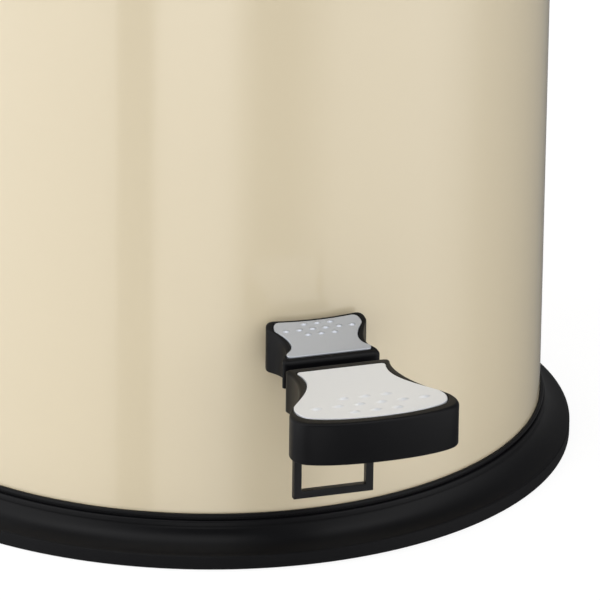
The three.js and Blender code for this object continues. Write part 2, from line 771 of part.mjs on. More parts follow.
// ---------------------------------------------------------------- hinge housing and grip
const hinge = [hingeReach, hingeHeight];
const outerWallTop = hingeHeight + knuckleSpacing;
const outerWall = turned([
  [0, 0], [bodyRadius + gap, 0], [bodyRadius + gap, outerWallTop], [0, outerWallTop],
]);
const housingScrewX = housingHalfWidth - 10;
const housingScrewZ = housingBottom + 15;

function hingeHousing() {
  const inner = housingHalfWidth - housingWall;
  const shoulder = bodyTop - rimSkirt - 1.5;
  const lobe = housingLobe;
  const front = hingeReach - lobe + 0.5;
  const arc = Array.from({ length: 9 }, (_, i) => {
    const turn = (Math.PI * i) / 8;
    return [hingeReach + lobe * Math.cos(turn), hingeHeight + lobe * Math.sin(turn)];
  });
  const cheekOutline = [
    [bodyRadius - 12, housingBottom],
    [housingBack, housingBottom],
    [housingBack, hingeHeight],
    ...arc,
    [front, hingeHeight - 15],
    [front, shoulder],
    [bodyRadius - 12, shoulder],
  ];
  const cheeks = [-housingHalfWidth, inner].map((x) => acrossX(cheekOutline, x, x + housingWall));
  const back = box(
    [-housingHalfWidth, housingBack - housingWall, housingBottom],
    [housingHalfWidth, housingBack, hingeHeight + 6],
  );
  const floor = box(
    [-housingHalfWidth, bodyRadius - 12, housingBottom],
    [housingHalfWidth, housingBack, housingBottom + housingWall],
  );
  const bore = rodAlong('x', hingePinRadius + gap, -housingHalfWidth - 1, housingHalfWidth + 1, hinge);
  const holes = [-housingScrewX, housingScrewX].map((x) => (
    rodAlong('y', boltRadius + gap, housingBack - housingWall - 1, housingBack + 1, [x, housingScrewZ])
  ));
  return cut(join(...cheeks, back, floor), outerWall, bore, ...holes);
}
place('hinge_housing', hingeHousing(), blackPlastic);

[['left', -housingScrewX], ['right', housingScrewX]].forEach(([side, x]) => {
  const seat = housingBack + gap;
  const head = rodAlong('y', boltHeadRadius, seat, seat + 2, [x, housingScrewZ]);
  const shank = rodAlong('y', boltRadius, bodyRadius + 2, seat + 1, [x, housingScrewZ]);
  place(`housing_screw_${side}`, join(head, shank), satinMetal);
});

const pinHead = rodAlong('x', hingePinRadius + 2, housingHalfWidth + gap, housingHalfWidth + 2, hinge);
const pinShank = rodAlong('x', hingePinRadius, -housingHalfWidth - 1.5, housingHalfWidth + 1, hinge);
place('hinge_pin', join(pinHead, pinShank), satinMetal);

function carryGrip() {
  const top = gripBottom + gripHeight;
  const outline = new THREE.Shape();
  const corner = 12;
  outline.moveTo(-gripHalfWidth, bodyRadius - 14);
  outline.lineTo(gripHalfWidth, bodyRadius - 14);
  outline.lineTo(gripHalfWidth, rearEnd - corner);
  outline.quadraticCurveTo(gripHalfWidth, rearEnd, gripHalfWidth - corner, rearEnd);
  outline.lineTo(-gripHalfWidth + corner, rearEnd);
  outline.quadraticCurveTo(-gripHalfWidth, rearEnd, -gripHalfWidth, rearEnd - corner);
  const fingers = box(
    [-gripHalfWidth + gripBar, bodyRadius + 6, gripBottom - 1],
    [gripHalfWidth - gripBar, rearEnd - gripBar, top + 1],
  );
  return cut(raised(outline, gripBottom, top), outerWall, fingers);
}
place('carry_grip', carryGrip(), blackPlastic);

// ---------------------------------------------------------------- lid
const lid = new THREE.Group();
bin.add(lid);
const crankPin = [crankPinY, crankPinZ];
const lidScrewX = 16;
const lidScrewZ = lidBottom + 19;
const bracketPlateBottom = hingeHeight + 3;

function lidScrewHoles() {
  return [-lidScrewX, lidScrewX].map((x) => (
    rodAlong('y', boltRadius + gap, lidRadius - 16, lidRadius + 2, [x, lidScrewZ])
  ));
}

// The dome's half section, drawn in by a thickness.
function domeCurve(inset) {
  const edge = lidRadius - inset;
  const shoulder = lidBottom + lidSkirt;
  const crown = shoulder + lidRise - inset;
  return curvePoints(new THREE.CubicBezierCurve(
    new THREE.Vector2(edge, shoulder),
    new THREE.Vector2(edge, shoulder + 20),
    new THREE.Vector2(lidRadius - domeEase, crown),
    new THREE.Vector2(0, crown),
  ), 6);
}

function lidShell() {
  const shell = turned([
    ...domeCurve(lidSheet).reverse(),
    [lidRadius - lidSheet, lidBottom],
    [lidRadius, lidBottom],
    ...domeCurve(0),
  ]);
  const arms = knuckleSpacing / 2 + knuckleWidth / 2 + 2;
  const notch = box([-arms, lidRadius - 20, lidBottom - 1], [arms, lidRadius + 5, hingeHeight + 8]);
  return cut(shell, notch, ...lidScrewHoles());
}
place('lid_shell', lidShell(), creamPaint, lid);

function lidLiner() {
  const outer = lidRadius - lidSheet - gap;
  const ring = turned([
    [outer - 4.5, lidBottom + gap],
    [outer, lidBottom + gap],
    [outer, lidBottom + 6],
    [outer - 2, lidBottom + 6],
    [outer - 2, lidBottom + 2.3],
    [outer - 4.5, lidBottom + 2.3],
  ]);
  const arms = knuckleSpacing / 2 + knuckleWidth / 2 + 4;
  return cut(ring, box([-arms, lidRadius - 40, lidBottom - 1], [arms, lidRadius + 5, lidBottom + 9]));
}
place('lid_liner', lidLiner(), greyPlastic, lid);

function hingeBracket() {
  const inside = turned([
    [0, lidBottom],
    [lidRadius - lidSheet - gap, lidBottom],
    [lidRadius - lidSheet - gap, lidBottom + lidSkirt],
    [0, lidBottom + lidSkirt],
  ]);
  const half = knuckleSpacing / 2 + knuckleWidth / 2 + 3;
  const plate = box(
    [-half, lidRadius - 12, bracketPlateBottom],
    [half, lidRadius, lidBottom + lidSkirt - 1],
  ).intersect(inside);
  const arm = (from, to) => join(
    box([from, lidRadius - 12, hingeHeight - 6], [to, hingeReach, hingeHeight + 6]),
    rodAlong('x', knuckleRadius, from, to, hinge),
  );
  const lug = crankX + crankThickness + gap;
  const outer = (knuckleSpacing + knuckleWidth) / 2;
  const arms = join(arm(-outer, -outer + knuckleWidth), arm(outer - knuckleWidth, outer), arm(lug, lug + 5.5));
  const bore = rodAlong('x', hingePinRadius + gap, -outer - 1, outer + 1, hinge);
  return cut(join(plate, arms), bore, ...lidScrewHoles());
}
place('lid_hinge_bracket', hingeBracket(), blackPlastic, lid);

[['left', -lidScrewX], ['right', lidScrewX]].forEach(([side, x]) => {
  const seat = lidRadius + gap;
  const head = rodAlong('y', rivetHeadRadius, seat, seat + 1.6, [x, lidScrewZ]);
  const shank = rodAlong('y', boltRadius, lidRadius - 10, seat + 1, [x, lidScrewZ]);
  place(`lid_screw_${side}`, join(head, shank), satinMetal, lid);
});

function crankPlate() {
  const [from, to] = [crankX, crankX + crankThickness];
  const plate = join(
    barAcrossX(hinge, crankPin, crankWidth, from, to),
    rodAlong('x', crankWidth / 2, from, to, hinge),
    rodAlong('x', crankWidth / 2, from, to, crankPin),
  );
  return cut(
    plate,
    rodAlong('x', hingePinRadius + gap, from - 1, to + 1, hinge),
    rodAlong('x', crankPinRadius + gap, from - 1, to + 1, crankPin),
  );
}
place('crank_plate', crankPlate(), darkMetal, lid);

const pinSeat = crankX + crankThickness + gap;
const crankPinShank = rodAlong('x', crankPinRadius, -eyeThickness / 2 - 3, pinSeat + 1, crankPin);
const crankPinHead = rodAlong('x', crankPinRadius + 2, pinSeat, pinSeat + 2, crankPin);
place('crank_pin', join(crankPinShank, crankPinHead), satinMetal, lid);

// ---------------------------------------------------------------- bucket and bail
const bucket = new THREE.Group();
bin.add(bucket);
const bucketRimBottom = rimTop + gap;
const bucketRimTop = bucketRimBottom + bucketRimSheet;
const bailHeight = bucketRimTop + gap + gripRadius;
const earX = bailReach + bailRadius + 1 + earSheet / 2;

function innerBucket() {
  const wall = turned([
    [0, bucketBottom],
    [bucketBottomRadius, bucketBottom],
    [bucketTopRadius, bucketRimBottom],
    [bucketRimRadius, bucketRimBottom],
    [bucketRimRadius, bucketRimTop],
    [bucketTopRadius - bucketSheet, bucketRimTop],
    [bucketBottomRadius - bucketSheet, bucketBottom + bucketSheet],
    [0, bucketBottom + bucketSheet],
  ]);
  const flat = box([-bodyRadius, bucketFlat, bucketRimBottom - 5], [bodyRadius, bodyRadius, bucketRimTop + 5]);
  return cut(wall, flat);
}
place('inner_bucket', innerBucket(), greyPlastic, bucket);

for (const [side, sign] of [['left', -1], ['right', 1]]) {
  const [from, to] = [earX - earSheet / 2, earX + earSheet / 2].map((x) => x * sign).sort((p, q) => p - q);
  const plate = box([from, -6, bucketRimTop + gap], [to, 6, bucketRimTop + gap + earHeight]);
  const bore = rodAlong('x', bailRadius + gap, from - 1, to + 1, [0, bailHeight]);
  place(`bucket_ear_${side}`, cut(plate, bore), greyPlastic, bucket);
}

const bail = new THREE.Group();
bucket.add(bail);

// A tube swept along a level arc in front of the bin's axis, centred on the -Y direction.
function sweptArc(section, reach, halfAngle, height, steps) {
  const arc = new THREE.EllipseCurve(0, 0, reach, reach, -Math.PI / 2 - halfAngle, -Math.PI / 2 + halfAngle);
  const points = arc.getPoints(steps).map((p) => new THREE.Vector3(p.x, p.y, height));
  const path = new THREE.CatmullRomCurve3(points);
  return solid(new THREE.ExtrudeGeometry(section, { steps, bevelEnabled: false, extrudePath: path }));
}

function disc(radius, steps) {
  return Array.from({ length: steps }, (_, i) => new THREE.Vector2(
    radius * Math.cos((2 * Math.PI * i) / steps),
    radius * Math.sin((2 * Math.PI * i) / steps),
  ));
}

function bucketBail() {
  const wire = sweptArc(new THREE.Shape(disc(bailRadius, 8)), bailReach, Math.PI / 2, bailHeight, 30);
  const tip = earX + earSheet / 2 + 1.5;
  const ends = [-1, 1].map((sign) => {
    const [from, to] = [(bailReach - 1) * sign, tip * sign].sort((p, q) => p - q);
    return rodAlong('x', bailRadius, from, to, [0, bailHeight], 12);
  });
  return join(wire, ...ends);
}
place('bucket_bail', bucketBail(), satinMetal, bail);

const sleeve = new THREE.Shape(disc(gripRadius, 12));
sleeve.holes.push(new THREE.Path(disc(bailRadius + gap, 12)));
place('bail_grip', sweptArc(sleeve, bailReach, rad(gripSweep), bailHeight, 8), greyPlastic, bail);

export default bin;
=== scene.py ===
# %% [markdown]
# # A round pedal bin in cream enamel
#
# The bin is a steel cylinder in cream enamel on a black moulded ring. A foot pedal in front works a lever
# and a rod inside, and they lift the domed lid. We dress the measured frame: each measured part stays where
# it is, and gets either a real finish or a finer piece of the same size in its place.

import math

import bmesh
import bpy
from mathutils import Matrix, Vector
from mathutils.geometry import interpolate_bezier


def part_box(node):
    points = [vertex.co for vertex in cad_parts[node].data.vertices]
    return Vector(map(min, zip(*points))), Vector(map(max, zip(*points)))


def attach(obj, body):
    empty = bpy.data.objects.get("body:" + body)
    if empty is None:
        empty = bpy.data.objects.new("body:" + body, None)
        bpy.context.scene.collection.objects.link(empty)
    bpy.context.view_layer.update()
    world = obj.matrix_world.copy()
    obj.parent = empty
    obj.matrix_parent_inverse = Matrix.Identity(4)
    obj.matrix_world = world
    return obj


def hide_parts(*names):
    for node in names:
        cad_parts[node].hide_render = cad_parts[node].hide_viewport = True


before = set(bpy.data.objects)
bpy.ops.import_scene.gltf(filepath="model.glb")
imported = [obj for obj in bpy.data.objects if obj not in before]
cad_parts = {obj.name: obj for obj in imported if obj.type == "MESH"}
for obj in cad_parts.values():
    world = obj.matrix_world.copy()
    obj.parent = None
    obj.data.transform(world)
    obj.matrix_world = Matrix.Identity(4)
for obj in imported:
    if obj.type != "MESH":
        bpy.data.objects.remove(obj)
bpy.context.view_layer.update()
MM = 0.001

# %% [markdown]
# ## The sizes that everything else follows
#
# A turned object needs only its axis and its radius. Both come from the measured body, so the finer pieces
# land exactly on the measured ones.

# %% Axis, radius and heights
low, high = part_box("body_shell")
BODY_RADIUS = (high.x - low.x) / 2
AXIS_Y = (high.y + low.y) / 2
BODY_BOTTOM = low.z
BODY_TOP = high.z
BODY_WALL = 1.0 * MM
ROUND_STEPS = 192
print("body radius", round(BODY_RADIUS, 4), "axis y", round(AXIS_Y, 4), "top", round(BODY_TOP, 4))

# %% [markdown]
# ## Finishes from nodes
#
# Every finish is a Principled shader fed by noise. Noise read from object coordinates stays put when the
# part moves and needs no unwrapping. One small helper makes the shader, and each finish then adds its own
# noise for colour, gloss and bump.


# %% Helpers for finishes
def linear(red, green, blue):
    """A colour given as it looks on a screen, 0 to 255, in the linear light that shaders use."""
    def channel(value):
        value /= 255
        return value / 12.92 if value <= 0.04045 else ((value + 0.055) / 1.055) ** 2.4

    return (channel(red), channel(green), channel(blue), 1)


def new_finish(name, roughness, metallic=0.0, coat=0.0, coat_roughness=0.05, specular=0.5):
    finish = bpy.data.materials.new(name)
    finish.use_nodes = True
    shader = finish.node_tree.nodes["Principled BSDF"]
    shader.inputs["Roughness"].default_value = roughness
    shader.inputs["Metallic"].default_value = metallic
    shader.inputs["Coat Weight"].default_value = coat
    shader.inputs["Coat Roughness"].default_value = coat_roughness
    shader.inputs["Specular IOR Level"].default_value = specular
    return finish, finish.node_tree, shader


def noise(tree, scale, detail=3.0, stretch=(1, 1, 1)):
    place = tree.nodes.new("ShaderNodeTexCoord")
    size = tree.nodes.new("ShaderNodeMapping")
    size.inputs["Scale"].default_value = stretch
    grain = tree.nodes.new("ShaderNodeTexNoise")
    grain.inputs["Scale"].default_value = scale
    grain.inputs["Detail"].default_value = detail
    tree.links.new(place.outputs["Object"], size.inputs["Vector"])
    tree.links.new(size.outputs["Vector"], grain.inputs["Vector"])
    return grain.outputs["Fac"]


def spread(tree, value, low_value, high_value, start=0.3, end=0.7):
    """Stretch a noise value to run between two numbers."""
    reach = tree.nodes.new("ShaderNodeMapRange")
    reach.inputs["From Min"].default_value = start
    reach.inputs["From Max"].default_value = end
    reach.inputs["To Min"].default_value = low_value
    reach.inputs["To Max"].default_value = high_value
    tree.links.new(value, reach.inputs["Value"])
    return reach.outputs["Result"]


def blend_colours(tree, value, first, second):
    mix = tree.nodes.new("ShaderNodeMix")
    mix.data_type = "RGBA"
    mix.inputs["A"].default_value = first
    mix.inputs["B"].default_value = second
    tree.links.new(value, mix.inputs["Factor"])
    return mix.outputs["Result"]


def add_bump(tree, shader, value, strength, depth, under=None):
    bump = tree.nodes.new("ShaderNodeBump")
    bump.inputs["Strength"].default_value = strength
    bump.inputs["Distance"].default_value = depth
    tree.links.new(value, bump.inputs["Height"])
    if under is not None:
        tree.links.new(under, bump.inputs["Normal"])
    tree.links.new(bump.outputs["Normal"], shader.inputs["Normal"])
    return bump.outputs["Normal"]


# %% [markdown]
# ### Cream enamel
#
# Stoved enamel is smooth and glossy, but not a mirror: it has a faint orange peel a few millimetres across,
# and its warm cream varies a little from place to place. A clear coat over a rougher base gives the two
# reflections that enamel shows, one sharp and one soft.


# %% Cream enamel
def make_cream_enamel():
    finish, tree, shader = new_finish("cream_enamel", roughness=0.3, coat=1.0, coat_roughness=0.06)
    cloud = spread(tree, noise(tree, 5, 1), 0, 1, start=0.1, end=0.9)
    colour = blend_colours(tree, cloud, linear(219, 205, 175), linear(217, 203, 173))
    tree.links.new(colour, shader.inputs["Base Color"])
    gloss = spread(tree, noise(tree, 9, 1), 0.27, 0.33, start=0.1, end=0.9)
    tree.links.new(gloss, shader.inputs["Roughness"])
    peel = noise(tree, 350, 1)
    add_bump(tree, shader, peel, 0.02, 0.2 * MM)
    return finish


CREAM_ENAMEL = make_cream_enamel()
print("finish:", CREAM_ENAMEL.name)

# %% [markdown]
# ### Black mouldings
#
# The ring and the pads are moulded in black plastic with a spark-eroded grain. The grain is finer than a
# quarter of a millimetre and breaks the shine into a satin. Handling polishes some places more than others,
# so a slow noise moves the roughness as well. The ring's flare is smoother than its rim wall, so the same
# recipe is used twice with other numbers.


# %% Black mouldings
def make_moulding(name, shade, low_roughness, high_roughness, grain_depth, specular=0.5):
    finish, tree, shader = new_finish(name, roughness=low_roughness, specular=specular)
    lighter = tuple(min(1, c * 1.35) for c in shade[:3]) + (1,)
    cloud = spread(tree, noise(tree, 30, 4), 0, 1)
    tree.links.new(blend_colours(tree, cloud, shade, lighter), shader.inputs["Base Color"])
    wear = spread(tree, noise(tree, 14, 5), low_roughness, high_roughness)
    tree.links.new(wear, shader.inputs["Roughness"])
    grain = noise(tree, 2600, 2)
    add_bump(tree, shader, grain, 0.35, grain_depth)
    return finish


SATIN_BLACK = make_moulding("satin_black_moulding", linear(9, 9, 11), 0.36, 0.44, 0.03 * MM, specular=0.13)
MATT_BLACK = make_moulding("matt_black_moulding", linear(11, 11, 13), 0.55, 0.68, 0.06 * MM, specular=0.13)
GREY_MOULDING = make_moulding("grey_moulding", linear(120, 122, 125), 0.45, 0.6, 0.05 * MM)
RUBBER = make_moulding("black_rubber", linear(11, 11, 13), 0.8, 0.92, 0.08 * MM, specular=0.13)
print("finishes:", SATIN_BLACK.name, MATT_BLACK.name, GREY_MOULDING.name, RUBBER.name)

# %% [markdown]
# ### Metals
#
# The treads are stainless sheet with a satin rub, which is a noise stretched along one direction. The small
# sloping tread gets a darker, greyer copy of that steel: painted shade, for the shade of the body wall above
# it.
# The lever and its brackets are steel in a thin satin black paint.
# Pins, bolts and the rod are zinc plated, a greyer metal with a mottled gloss.


# %% Metals
def make_brushed(name, shade, low_roughness, high_roughness, stretch, scratch, metallic=1.0):
    finish, tree, shader = new_finish(name, roughness=low_roughness, metallic=metallic)
    shader.inputs["Base Color"].default_value = shade
    rub = noise(tree, 60, 5, stretch)
    tree.links.new(spread(tree, rub, low_roughness, high_roughness), shader.inputs["Roughness"])
    add_bump(tree, shader, rub, 0.2, scratch)
    return finish


RUB = (1, 30, 30)
MOTTLE = (3, 3, 3)
SCRATCH = 0.01 * MM
SATIN_STEEL = make_brushed("satin_silver", linear(226, 229, 234), 0.34, 0.42, RUB, SCRATCH, metallic=0.4)
# The rear tread's steel is the front's steel made darker: painted shade from the body wall above that tread.
SHADED_REAR_TREAD_STEEL = make_brushed("satin_silver_painted_shade", linear(178, 182, 189), 0.3, 0.4, RUB, SCRATCH, metallic=0.6)
ZINC_PLATE = make_brushed("zinc_plate", linear(190, 193, 197), 0.25, 0.5, MOTTLE, SCRATCH)


def make_black_steel():
    finish, tree, shader = new_finish("black_painted_steel", roughness=0.4, specular=0.3)
    cloud = spread(tree, noise(tree, 80, 3), 0, 1)
    colour = blend_colours(tree, cloud, linear(12, 12, 13), linear(18, 18, 19))
    tree.links.new(colour, shader.inputs["Base Color"])
    tree.links.new(spread(tree, noise(tree, 50, 4), 0.36, 0.5), shader.inputs["Roughness"])
    add_bump(tree, shader, noise(tree, 700, 2), 0.12, 0.05 * MM)
    return finish


BLACK_STEEL = make_black_steel()
print("finishes:", SATIN_STEEL.name, ZINC_PLATE.name, BLACK_STEEL.name)

# %% [markdown]
# ## Making turned and lofted pieces
#
# Most of the bin is turned: a half section spun round an axis. The pads are lofted: the same outline drawn
# at several heights, a little smaller or larger each time. Both are rows of rings joined with quads, so one
# function joins rings and every piece uses it.


# %% Rings, skins and lathes
def finish_piece(name, mesh, finish, body, replaced, sharp=32):
    """Turn a mesh into a piece: smooth it, keep its crisp edges, paint it and fix it to its body."""
    mesh.polygons.foreach_set("use_smooth", [True] * len(mesh.polygons))
    mesh.set_sharp_from_angle(angle=math.radians(sharp))
    mesh.materials.append(finish)
    piece = bpy.data.objects.new(name, mesh)
    bpy.context.scene.collection.objects.link(piece)
    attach(piece, body)
    if replaced:
        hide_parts(*replaced)
    return piece


def skin(name, rings, wrap_rings=False, cap_first=False, cap_last=False, skip=()):
    """Join rings of points with quads. A ring is closed; wrap_rings joins the last ring to the first."""
    bm = bmesh.new()
    rows = [[bm.verts.new(point) for point in ring] for ring in rings]
    count = len(rows[0])
    last = len(rows) if wrap_rings else len(rows) - 1
    for r in range(last):
        upper, lower = rows[r], rows[(r + 1) % len(rows)]
        for i in range(count):
            if (r, i) in skip:
                continue
            j = (i + 1) % count
            bm.faces.new((upper[i], upper[j], lower[j], lower[i]))
    if cap_first:
        bm.faces.new(list(reversed(rows[0])))
    if cap_last:
        bm.faces.new(rows[-1])
    bmesh.ops.recalc_face_normals(bm, faces=bm.faces)
    mesh = bpy.data.meshes.new(name)
    bm.to_mesh(mesh)
    bm.free()
    return mesh


def circle(radius, height, steps=ROUND_STEPS, centre=(0.0, None)):
    x0 = centre[0]
    y0 = AXIS_Y if centre[1] is None else centre[1]
    turns = [2 * math.pi * i / steps for i in range(steps)]
    return [Vector((x0 + radius * math.cos(a), y0 + radius * math.sin(a), height)) for a in turns]


def turned_mesh(name, profile, steps=ROUND_STEPS, closed=True, caps=(False, False)):
    """Spin a half section of (radius, height) points about the bin's axis."""
    rings = [circle(radius, height, steps) for radius, height in profile]
    return skin(name, rings, wrap_rings=closed, cap_first=caps[0], cap_last=caps[1])


def rounded(points, radii, steps=4):
    """Round the corners of a section. A radius of 0 leaves its corner alone."""
    out = []
    count = len(points)
    for i, (point, radius) in enumerate(zip(points, radii)):
        here = Vector(point)
        if radius == 0:
            out.append(tuple(here))
            continue
        before = Vector(points[i - 1]) - here
        after = Vector(points[(i + 1) % count]) - here
        reach = min(radius, before.length / 2, after.length / 2)
        start = here + before.normalized() * reach
        end = here + after.normalized() * reach
        for s in range(steps + 1):
            t = s / steps
            mixed = start * (1 - t) ** 2 + here * 2 * t * (1 - t) + end * t ** 2
            out.append(tuple(mixed))
    return out


print("lathe ready,", ROUND_STEPS, "steps round")

# %% [markdown]
# ## The base ring
#
# The ring is one moulding with five features from the top down: a thin bead, a narrow groove, a second lip,
# a concave flare and a near-upright rim wall. Its wall has a rougher grain than its flare, so those faces
# get the matt finish.

# %% Base ring
_, ring_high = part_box("base_ring")
RING_RADIUS = ring_high.x
RING_TOP = ring_high.z
RIM_WALL = 7.0 * MM


def base_ring_profile():
    inner = BODY_RADIUS + 0.3 * MM
    lip = BODY_RADIUS + 3.0 * MM
    flare_top = Vector((lip - 0.5 * MM, RING_TOP - 6.6 * MM))
    flare_end = Vector((RING_RADIUS - 0.55 * MM, RIM_WALL))
    bend = Vector((lip + 1.4 * MM, RIM_WALL + 2.2 * MM))
    flare = [
        flare_top * (1 - t) ** 2 + bend * 2 * t * (1 - t) + flare_end * t ** 2
        for t in [i / 16 for i in range(17)]
    ]
    bead = rounded(
        [
            (inner, RING_TOP),
            (inner + 1.7 * MM, RING_TOP),
            (inner + 1.7 * MM, RING_TOP - 1.9 * MM),
            (inner + 0.8 * MM, RING_TOP - 2.0 * MM),
            (inner + 0.8 * MM, RING_TOP - 3.0 * MM),
            (lip - 0.1 * MM, RING_TOP - 3.1 * MM),
            (lip, RING_TOP - 6.2 * MM),
        ],
        [0, 0.9 * MM, 0.6 * MM, 0, 0, 1.0 * MM, 0.7 * MM],
        steps=5,
    )
    wall = rounded(
        [
            (RING_RADIUS, RIM_WALL - 0.3 * MM),
            (RING_RADIUS, 0.0),
            (RING_RADIUS - 3 * MM, 0.0),
        ],
        [0.25 * MM, 0.6 * MM, 0.4 * MM],
    )
    underside = [
        (RING_RADIUS - 3 * MM, 4 * MM),
        (RING_RADIUS - 8 * MM, 6 * MM),
        (BODY_RADIUS - 11 * MM, 6 * MM),
        (BODY_RADIUS - 11 * MM, 9 * MM),
        (inner, 9 * MM),
    ]
    return bead + [tuple(p) for p in flare] + wall + underside


def make_base_ring():
    name = "base_ring_moulding"
    mesh = turned_mesh(name, base_ring_profile())
    piece = finish_piece(name, mesh, SATIN_BLACK, "bin_body", ["base_ring"], 40)
    mesh.materials.append(MATT_BLACK)
    for face in mesh.polygons:
        outward = math.hypot(face.center.x, face.center.y - AXIS_Y) > RING_RADIUS - 0.5 * MM
        if outward and face.center.z < RIM_WALL:
            face.material_index = 1
    return piece


make_base_ring()
print("base ring: radius", round(RING_RADIUS, 4), "height", round(RING_TOP, 4))

# %% [markdown]
# ## The enamelled body
#
# The body is rolled from thin sheet. We build its wall as a grid of quads, leave out the quads where the
# lever's arms pass, and give the sheet its thickness with a Solidify modifier. A grid keeps the gloss
# smooth right up to the slots, which a boolean cut would not.


# %% Body wall
ARM_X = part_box("pedal_lever")[1].x - 2 * MM
SLOT_HALF = 3.7 * MM
SLOT_SPAN = (103.0 * MM, 119.5 * MM)
WALL_STEPS = 360


def wall_with_holes(name, radius, heights, holes, radius_at=None):
    """A round wall of even quads, less those that reach into holes (x span, z span, front or back)."""
    stops = sorted(set(heights) | {z for _, span, _ in holes for z in span})
    turns = [math.radians(360 * i / WALL_STEPS) for i in range(WALL_STEPS + 1)]

    def inside(r, i):
        ends = sorted((radius * math.cos(turns[i]), radius * math.cos(turns[i + 1])))
        in_front = math.sin((turns[i] + turns[i + 1]) / 2) < 0
        z = (stops[r] + stops[r + 1]) / 2
        return any(
            ends[1] > x0 and ends[0] < x1 and z0 < z < z1 and in_front == front
            for (x0, x1), (z0, z1), front in holes
        )

    rings = []
    for z in stops:
        here = radius if radius_at is None else radius_at(z)
        rings.append([Vector((here * math.cos(a), AXIS_Y + here * math.sin(a), z)) for a in turns[:-1]])
    skip = {(r, i) for r in range(len(stops) - 1) for i in range(WALL_STEPS) if inside(r, i)}
    return skin(name, rings, skip=skip)


def thicken(piece, thickness):
    """Give a sheet its thickness, keep the result as its mesh, and crease the cut edges."""
    sheet = piece.modifiers.new("sheet", "SOLIDIFY")
    sheet.thickness = thickness
    sheet.offset = -1
    ready = bpy.context.evaluated_depsgraph_get()
    solid = bpy.data.meshes.new_from_object(piece.evaluated_get(ready))
    piece.modifiers.clear()
    piece.data = solid
    solid.set_sharp_from_angle(angle=math.radians(32))
    return piece


def make_body():
    slots = [((x - SLOT_HALF, x + SLOT_HALF), SLOT_SPAN, True) for x in (-ARM_X, ARM_X)]
    notch = ((1.3 * MM, 9.3 * MM), (BODY_TOP - 7 * MM, BODY_TOP), False)
    heights = [BODY_BOTTOM, BODY_BOTTOM + 0.15, 0.3, 0.45, BODY_TOP]
    mesh = wall_with_holes("enamelled_body", BODY_RADIUS, heights, [*slots, notch])
    piece = finish_piece("enamelled_body", mesh, CREAM_ENAMEL, "bin_body", ["body_shell"])
    return thicken(piece, BODY_WALL)


make_body()
print("body wall from", round(BODY_BOTTOM, 4), "to", round(BODY_TOP, 4))

# %% [markdown]
# ## The pads
#
# Each pad is a deep black moulding with a flat land round its top and a shallow recess for its metal tread.
# Its plan outline is a few Bezier stretches, mirrored left to right. Lofting that outline at small insets
# rounds the top edge, drops into the recess and forms the hollow underneath.

# %% Pad outlines
front_low, front_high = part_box("front_pad")
rear_low, rear_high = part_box("rear_pad")
PAD_TOP = front_high.z
PAD_BOTTOM = front_low.z
FRONT_EDGE = front_low.y
FRONT_WAIST = front_high.y
FRONT_HALF = front_high.x
REAR_WAIST = rear_low.y
REAR_HALF = rear_high.x
WAIST_HALF = 26.2 * MM
REAR_TUCK = 1.5 * MM  # the rear pad is this much narrower at the waist, on each side
REAR_SLOPE = math.radians(20.5)
REAR_WALL_RADIUS = BODY_RADIUS + 2.6 * MM


def bezier(start, first, second, end, steps):
    points = interpolate_bezier(
        Vector((*start, 0)), Vector((*first, 0)), Vector((*second, 0)), Vector((*end, 0)), steps + 1
    )
    return [Vector((p.x, p.y)) for p in points]


def mirror_outline(half):
    return half + [Vector((-p.x, p.y)) for p in reversed(half)]


def drop_repeats(points):
    out = []
    for p in points:
        if not out or (p - out[-1]).length > 1e-6:
            out.append(p)
    return out


def even_out(points, count):
    """Space points evenly along a path, so that rings of one loft match each other."""
    lengths = [0.0]
    for a, b in zip(points, points[1:]):
        lengths.append(lengths[-1] + (b - a).length)
    out = []
    j = 0
    for i in range(count):
        want = lengths[-1] * i / (count - 1)
        while j < len(points) - 2 and lengths[j + 1] < want:
            j += 1
        span = lengths[j + 1] - lengths[j]
        out.append(points[j].lerp(points[j + 1], (want - lengths[j]) / span if span else 0))
    return out


def front_outline(side=0.0, end=None):
    """The front pad's plan, drawn in by a margin at its sides and one at its ends."""
    end = side if end is None else end
    narrow, wide = WAIST_HALF - side, FRONT_HALF + 0.2 * MM - side
    near, far = FRONT_WAIST - end, FRONT_EDGE + end
    k = MM
    half = [
        Vector((0, near)),
        Vector((narrow * 0.5, near)),
        *bezier((narrow - 2 * k, near), (narrow - 0.6 * k, near),
                (narrow, near - 0.6 * k), (narrow, near - 2 * k), 4),
        *bezier((narrow - 0.3 * k, near - 3 * k), (narrow - 3.5 * k, near - 15 * k),
                (narrow + 2.5 * k, far + 37 * k), (wide - 2.2 * k, far + 22.5 * k), 22),
        *bezier((wide - 2.2 * k, far + 22.5 * k), (wide + 0.4 * k, far + 19 * k),
                (wide + 1.1 * k, far + 9.5 * k), (wide - 5.4 * k, far + 6 * k), 16),
        *bezier((wide - 5.4 * k, far + 6 * k), (wide - 12 * k, far + 2.6 * k),
                (wide - 24 * k, far), (0, far), 18),
    ]
    return mirror_outline(even_out(drop_repeats(half), 90))


